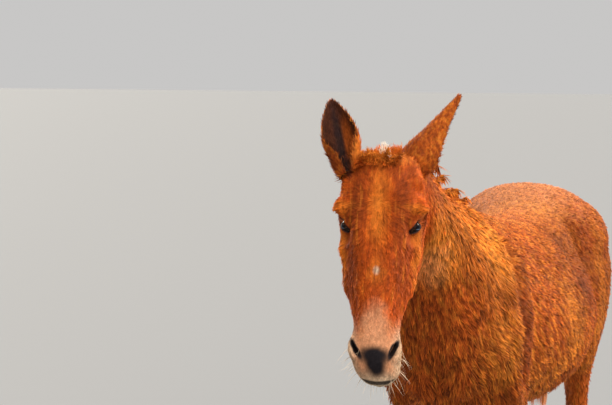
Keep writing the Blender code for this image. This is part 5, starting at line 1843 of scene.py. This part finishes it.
@dataclass
class FineHair:
    """Eyelashes, and the whiskers of lips, chin and nostrils."""

    anatomy: Anatomy
    skin: Object
    finish: Material
    steps: int = 6
    whisker_count: int = 110
    whisker_length: Range = (0.014, 0.042)
    whisker_width: float = 0.00075
    whisker_shade: float = 0.35
    lash_count: int = 46
    lash_arc: Range = (0.1, 0.9)
    lash_length: Range = (0.005, 0.01)
    lash_width: float = 0.0006
    lash_shade: float = -1.0
    seed: int = 77

    def build(self) -> list[Object]:
        """Makes both kinds."""
        return [self.whiskers(), self.lashes()]

    def piece(self, name: str, roots: Array, ways: Array, bends: Array, lengths: Array, width: float,
              shade: float) -> Object:
        """Curved single hairs.

        Args:
            name: The name of the piece.
            roots: Where they start.
            ways: The way that each starts out.
            bends: The way that each turns towards.
            lengths: How long each is.
            width: How wide they are.
            shade: Added to how pale they are.

        Returns:
            The piece.
        """
        chance, count = np.random.default_rng(self.seed), len(roots)
        steps = np.linspace(0, 1, self.steps)[None, :, None]
        reach = lengths[:, None, None]
        paths = roots[:, None] + ways[:, None] * reach * steps + bends[:, None] * reach * steps**2
        side = unit(np.cross(ways, unit(chance.normal(size=ways.shape))))
        made = strip_mesh(name, paths, np.repeat(side[:, None], self.steps, axis=1), np.full(count, width),
                          (1.0, 0.95, 0.85, 0.65, 0.4), self.anatomy.head.rolled(roots),
                          np.full((count, 2), shade), np.zeros(count))
        return hand_over(made, self.finish, "coat")

    def whiskers(self) -> Object:
        """Stiff pale hairs that stand out from lips, chin and nostrils."""
        chance, head = np.random.default_rng(self.seed), self.anatomy.head
        points, faces = surface(self.skin)
        down, left, out = head.read(points).T
        fit = (down > 0.485) & (points[:, 1] < MUZZLE_FRONT) & ((out < -0.055) | (np.abs(left) > 0.038))
        chosen = chance.choice(np.flatnonzero(fit), self.whisker_count, replace=False)
        ways = unit(faces[chosen] + head.down * 0.45 + 0.28 * chance.normal(size=(len(chosen), 3)))
        bends = head.down * 0.25 + 0.12 * chance.normal(size=ways.shape)
        lengths = chance.uniform(*self.whisker_length, len(chosen))
        return self.piece("whiskers", points[chosen] - faces[chosen] * 0.001, ways, bends, lengths,
                          self.whisker_width, self.whisker_shade)

    def lashes(self) -> Object:
        """A row along each upper lid, out and down."""
        chance = np.random.default_rng(self.seed + 1)
        head, eye = self.anatomy.head, EyeShape()
        along, raised, gaze = eye.axes()
        roots, ways, bends = [], [], []
        for _, side in SIDES:
            for turn in np.linspace(*self.lash_arc, self.lash_count) * math.pi:
                turn += chance.normal(0, 0.02)
                ahead = math.cos(turn) * eye.half_width * 0.96
                above = math.sin(turn) * eye.upper * 1.02
                height = math.sqrt((eye.radius + 0.0014) ** 2 - ahead**2 - above**2)
                spot = along * ahead + raised * above + gaze * height
                way = unit(gaze * 0.9 + raised * 0.35 + along * (0.35 * math.cos(turn))
                           + 0.1 * chance.normal(size=3))
                bend = raised * -0.55 + gaze * 0.1
                for rows, row in ((roots, np.array(eye.place) + spot), (ways, way), (bends, bend)):
                    rows.append(row * (1, side, 1))
        lengths = chance.uniform(*self.lash_length, len(roots))
        return self.piece("lashes", head.placed(np.array(roots)), np.array(ways) @ head.axes(),
                          np.array(bends) @ head.axes(), lengths, self.lash_width, self.lash_shade)


@dataclass(frozen=True)
class EyeGlass:
    """Wet dark glass over a brown iris, with a painted bluish glint low on it."""

    name: str = "eye_glass"
    round_iris: Triple = (0.007, 0.004, 0.003)
    iris: tuple[Triple, Triple] = ((0.004, 0.002, 0.001), (0.015, 0.006, 0.003))
    pupil: Triple = (0.002, 0.003, 0.006)
    glint: Triple = (0.14, 0.19, 0.27)

    def build(self) -> Material:
        """A Principled material whose pattern follows where the eye looks."""
        made, graph, shader = painted(self.name, Roughness=0.08, Specular_IOR_Level=0.06,
                                      Coat_Weight=0.05, Coat_Roughness=0.03)
        look = graph.attribute("look")
        pupil = graph.patch(look, (0.0, 0.0, 1.0), (0.42, 0.2, 1.2), 0.15)
        iris = graph.patch(look, (0.0, 0.0, 1.0), (0.72, 0.66, 1.2), 0.08)
        # A painted highlight: a bluish reflection low on the eye.
        glint = graph.patch(look, (0.0, 0.27, 0.95), (0.34, 0.055, 0.4), 0.5)
        rays = graph.noise(graph.vector("MULTIPLY", look, (9.0, 22.0, 9.0)), 2.0, 4.0)
        colour = graph.mix(iris, self.round_iris, graph.mix(rays, *self.iris))
        colour = graph.mix(pupil, colour, self.pupil)
        graph.feed(shader.inputs["Base Color"], graph.tint(colour, self.glint, glint, 0.6))
        return made


@dataclass
class Eyes:
    """Eyeballs with a dark brown iris and a long level pupil."""

    head: HeadFrame
    shape: EyeShape = EyeShape()
    bulge: float = 0.0012

    def build(self) -> list[Object]:
        """Makes both eyes."""
        finish = EyeGlass().build()
        return [self.ball(word, side, finish) for word, side in SIDES]

    def ball(self, word: str, side: int, finish: Material) -> Object:
        """One eyeball, its cornea bulging, with where it looks kept for its shader."""
        eye = added(bpy.ops.mesh.primitive_uv_sphere_add, segments=48, ring_count=32,
                    radius=self.shape.radius)
        eye.name = f"eyeball_{word}"
        down, aside, out = self.shape.gaze
        gaze = unit(self.head.way(down, aside * side, out))
        level = unit(np.cross(gaze, UP))
        rows = places(eye.data)
        look = rows / self.shape.radius
        store(eye.data, "look", look)
        rows[:, 2] += soft(look[:, 2], 0.7, 1.0) * self.bulge
        turned = rows @ np.array((level, np.cross(gaze, level), gaze))
        move_to(eye.data, turned + self.head.eye_centre(word))
        return hand_over(eye, finish, "eye", f"eye_{word}")


@dataclass(frozen=True)
class HoofHorn:
    """Grey-brown horn streaked from coronet to ground, dusty below."""

    name: str = "hoof_horn"
    streaks: tuple[Triple, Triple] = ((0.055, 0.04, 0.032), (0.16, 0.115, 0.085))
    dust: Triple = (0.3, 0.24, 0.18)
    dust_top: float = 0.03
    bump: float = 0.25

    def build(self) -> Material:
        """A Principled material with its streaks upright, rougher where they are pale."""
        made, graph, shader = painted(self.name)
        where = graph.add("TexCoord").outputs["Object"]
        grain = graph.noise(graph.vector("MULTIPLY", where, (140.0, 140.0, 9.0)), 1.0, 4.0)
        colour = graph.mix(graph.step(grain, 0.35, 0.7), *self.streaks)
        low = graph.step(graph.parts(where)[2], self.dust_top, 0.0)
        colour = graph.tint(colour, self.dust, low, graph.noise(where, 60.0))
        graph.feed(shader.inputs["Base Color"], colour)
        graph.feed(shader.inputs["Roughness"], graph.math("MULTIPLY_ADD", grain, 0.25, 0.38))
        graph.bump(shader, grain, self.bump, 0.001)
        return made


@dataclass
class Hooves:
    """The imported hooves, rounded, with growth rings in the horn."""

    nodes: dict[str, Object]
    rounding: float = 0.0025
    sharp: float = math.radians(40)
    ring_gap: float = 0.0085
    ring_height: float = 0.0005
    ring_start: Range = (0.006, 0.014)

    def build(self) -> list[Object]:
        """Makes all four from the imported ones."""
        finish = HoofHorn().build()
        return [self.hoof(name, finish) for name in sorted(self.nodes) if name.startswith("hoof_")]

    def hoof(self, name: str, finish: Material) -> Object:
        """One hoof."""
        hoof = solid_copy(self.nodes[name], name.replace("hoof_", "horn_"))
        with editing(hoof):
            bpy.ops.mesh.select_all(action="SELECT")
            bpy.ops.mesh.tris_convert_to_quads()
        modify(hoof, "BEVEL", width=self.rounding, segments=2, limit_method="ANGLE", angle_limit=self.sharp)
        modify(hoof, "SUBSURF", levels=3, render_levels=3)
        rows, faces = surface(hoof)
        wave = np.sin(rows[:, 2] * (2 * math.pi / self.ring_gap) + 3 * np.sin(rows[:, 1] * 30))
        rows += faces * (self.ring_height * wave * soft(rows[:, 2], *self.ring_start))[:, None]
        rows[:, 2] = np.maximum(rows[:, 2], 0.0)
        move_to(hoof.data, rows)
        return hand_over(hoof, finish, "horn", name)


@dataclass(frozen=True)
class Lamp:
    """A far soft light: where it comes from, how many degrees it fills, its strength and colour."""

    name: str
    place: Triple
    spread: float
    power: float
    colour: Triple


@dataclass
class Studio:
    """Floor, soft light and the photograph's camera."""

    camera_place: Triple = (1.0412, -4.1648, 1.78)
    camera_yaw: float = math.radians(21)
    camera_pitch: float = math.radians(-6)
    focal_pixels: float = 1408.0
    image_width: float = 612.0
    sensor: float = 36.0
    floor_size: float = 120.0
    floor_colour: Triple = (0.204, 0.208, 0.216)
    sky_colour: Triple = (0.9, 0.89, 0.88)
    sky_strength: float = 0.64
    lamps: tuple[Lamp, ...] = (
        Lamp("key", (2.4, -3.2, 3.4), 45.0, 1.5, (1.0, 0.97, 0.92)),
        Lamp("overhead", (1.5, -0.8, 2.6), 36.0, 1.8, (1.0, 0.98, 0.95)),
        Lamp("rim_left", (3.2, 2.8, 2.4), 20.0, 3.4, (1.0, 0.92, 0.78)),
        Lamp("rim_right", (-3.4, 2.6, 2.0), 20.0, 3.0, (1.0, 0.92, 0.78)),
    )

    def build(self) -> None:
        """Sets floor, world, lamps and camera."""
        self.floor()
        self.sky()
        for lamp in self.lamps:
            self.light(lamp)
        self.camera()
        bpy.context.scene.view_settings.view_transform = "Standard"

    def floor(self) -> None:
        """A wide pale floor."""
        ground = added(bpy.ops.mesh.primitive_plane_add, size=self.floor_size, location=(0, 0, 0))
        ground.name = "floor"
        ground.data.materials.append(painted("floor_paint", Base_Color=self.floor_colour, Roughness=0.9)[0])

    def sky(self) -> None:
        """An even pale light from all round."""
        world = bpy.data.worlds.new("studio")
        bpy.context.scene.world = world
        world.use_nodes = True
        background = world.node_tree.nodes["Background"]
        Graph(world.node_tree).feed_named(background, Color=self.sky_colour, Strength=self.sky_strength)

    @staticmethod
    def light(lamp: Lamp) -> None:
        """One wide soft sun, aimed at the origin."""
        turn = (-Vector(lamp.place)).to_track_quat("-Z", "Y").to_euler()
        made = added(bpy.ops.object.light_add, type="SUN", location=lamp.place, rotation=turn)
        made.name = lamp.name
        made.data.angle = math.radians(lamp.spread)
        made.data.energy = lamp.power
        made.data.color = lamp.colour

    def camera(self) -> None:
        """The photograph's camera."""
        yaw, pitch = self.camera_yaw, self.camera_pitch
        right = Vector((math.cos(yaw), math.sin(yaw), 0))
        ahead = Vector((-math.sin(yaw) * math.cos(pitch), math.cos(yaw) * math.cos(pitch), math.sin(pitch)))
        turn = Matrix((right, right.cross(ahead), -ahead)).transposed().to_euler()
        made = added(bpy.ops.object.camera_add, location=self.camera_place, rotation=turn)
        made.data.sensor_width = self.sensor
        made.data.lens = self.sensor * self.focal_pixels / self.image_width
        made.data.dof.use_dof = False
        bpy.context.scene.camera = made


def coat_finishes() -> dict[Region, Material]:
    """The coat's materials, one for each region."""
    trunk = Hide("coat_hair", root_shade=0.42, tip_shade=1.08, spread=0.44).build()
    neck = Hide("neck_hair", root_shade=0.3, tip_shade=1.3, spread=0.46).build()
    leg = Hide("leg_hair", root_shade=0.45, spread=0.24).build()
    face = Hide("face_hair", root_shade=0.5, tip_shade=1.0, spread=0.26).build()
    ear = Hide("ear_hair", root_shade=0.5, spread=0.24).build()
    return {
        Region.HEAD: face,
        Region.NECK: neck,
        Region.BARREL: trunk,
        Region.RUMP: trunk,
        Region.FORELEGS: leg,
        Region.HINDLEGS: leg,
        Region.EARS: ear,
    }


def main() -> None:
    """Builds skin, coat, long hair, eyes, hooves and studio, and notes the sizes."""
    logging.basicConfig(level=logging.INFO, format="%(message)s")
    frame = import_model()
    head = HeadFrame.from_eyes()
    anatomy = Anatomy(head)
    MarkingsAndLight(head).build()
    # The skin is painted darker than the coat, as painted shade under the hair.
    hide = Hide("skin_hide", hair=False, bump=0.35, tip_shade=0.72).build()
    pieces = Skin(anatomy, hide).build(frame["nodes"])
    skin = pieces[0]
    pieces += Coat(anatomy, skin, coat_finishes()).build()
    mane = Hide("mane_hair", root_shade=0.72, tip_shade=1.15, spread=0.3).build()
    tail = Hide("tail_finish", root_shade=0.7, tip_shade=0.95, sheen=0.0).build()
    pale = PlainHair("pale_hair", (0.95, 0.85, 0.7), (0.8, 0.5, 0.28)).build()
    pieces += LongHair(anatomy, skin, mane, tail, pale).build()
    pieces += FineHair(anatomy, skin, PlainHair().build()).build()
    pieces += Eyes(head).build()
    pieces += Hooves(frame["nodes"]).build()
    for piece in pieces:
        log.info("%s: %d faces", piece.name, len(piece.data.polygons))
    Studio().build()


if __name__ == "__main__":
    main()
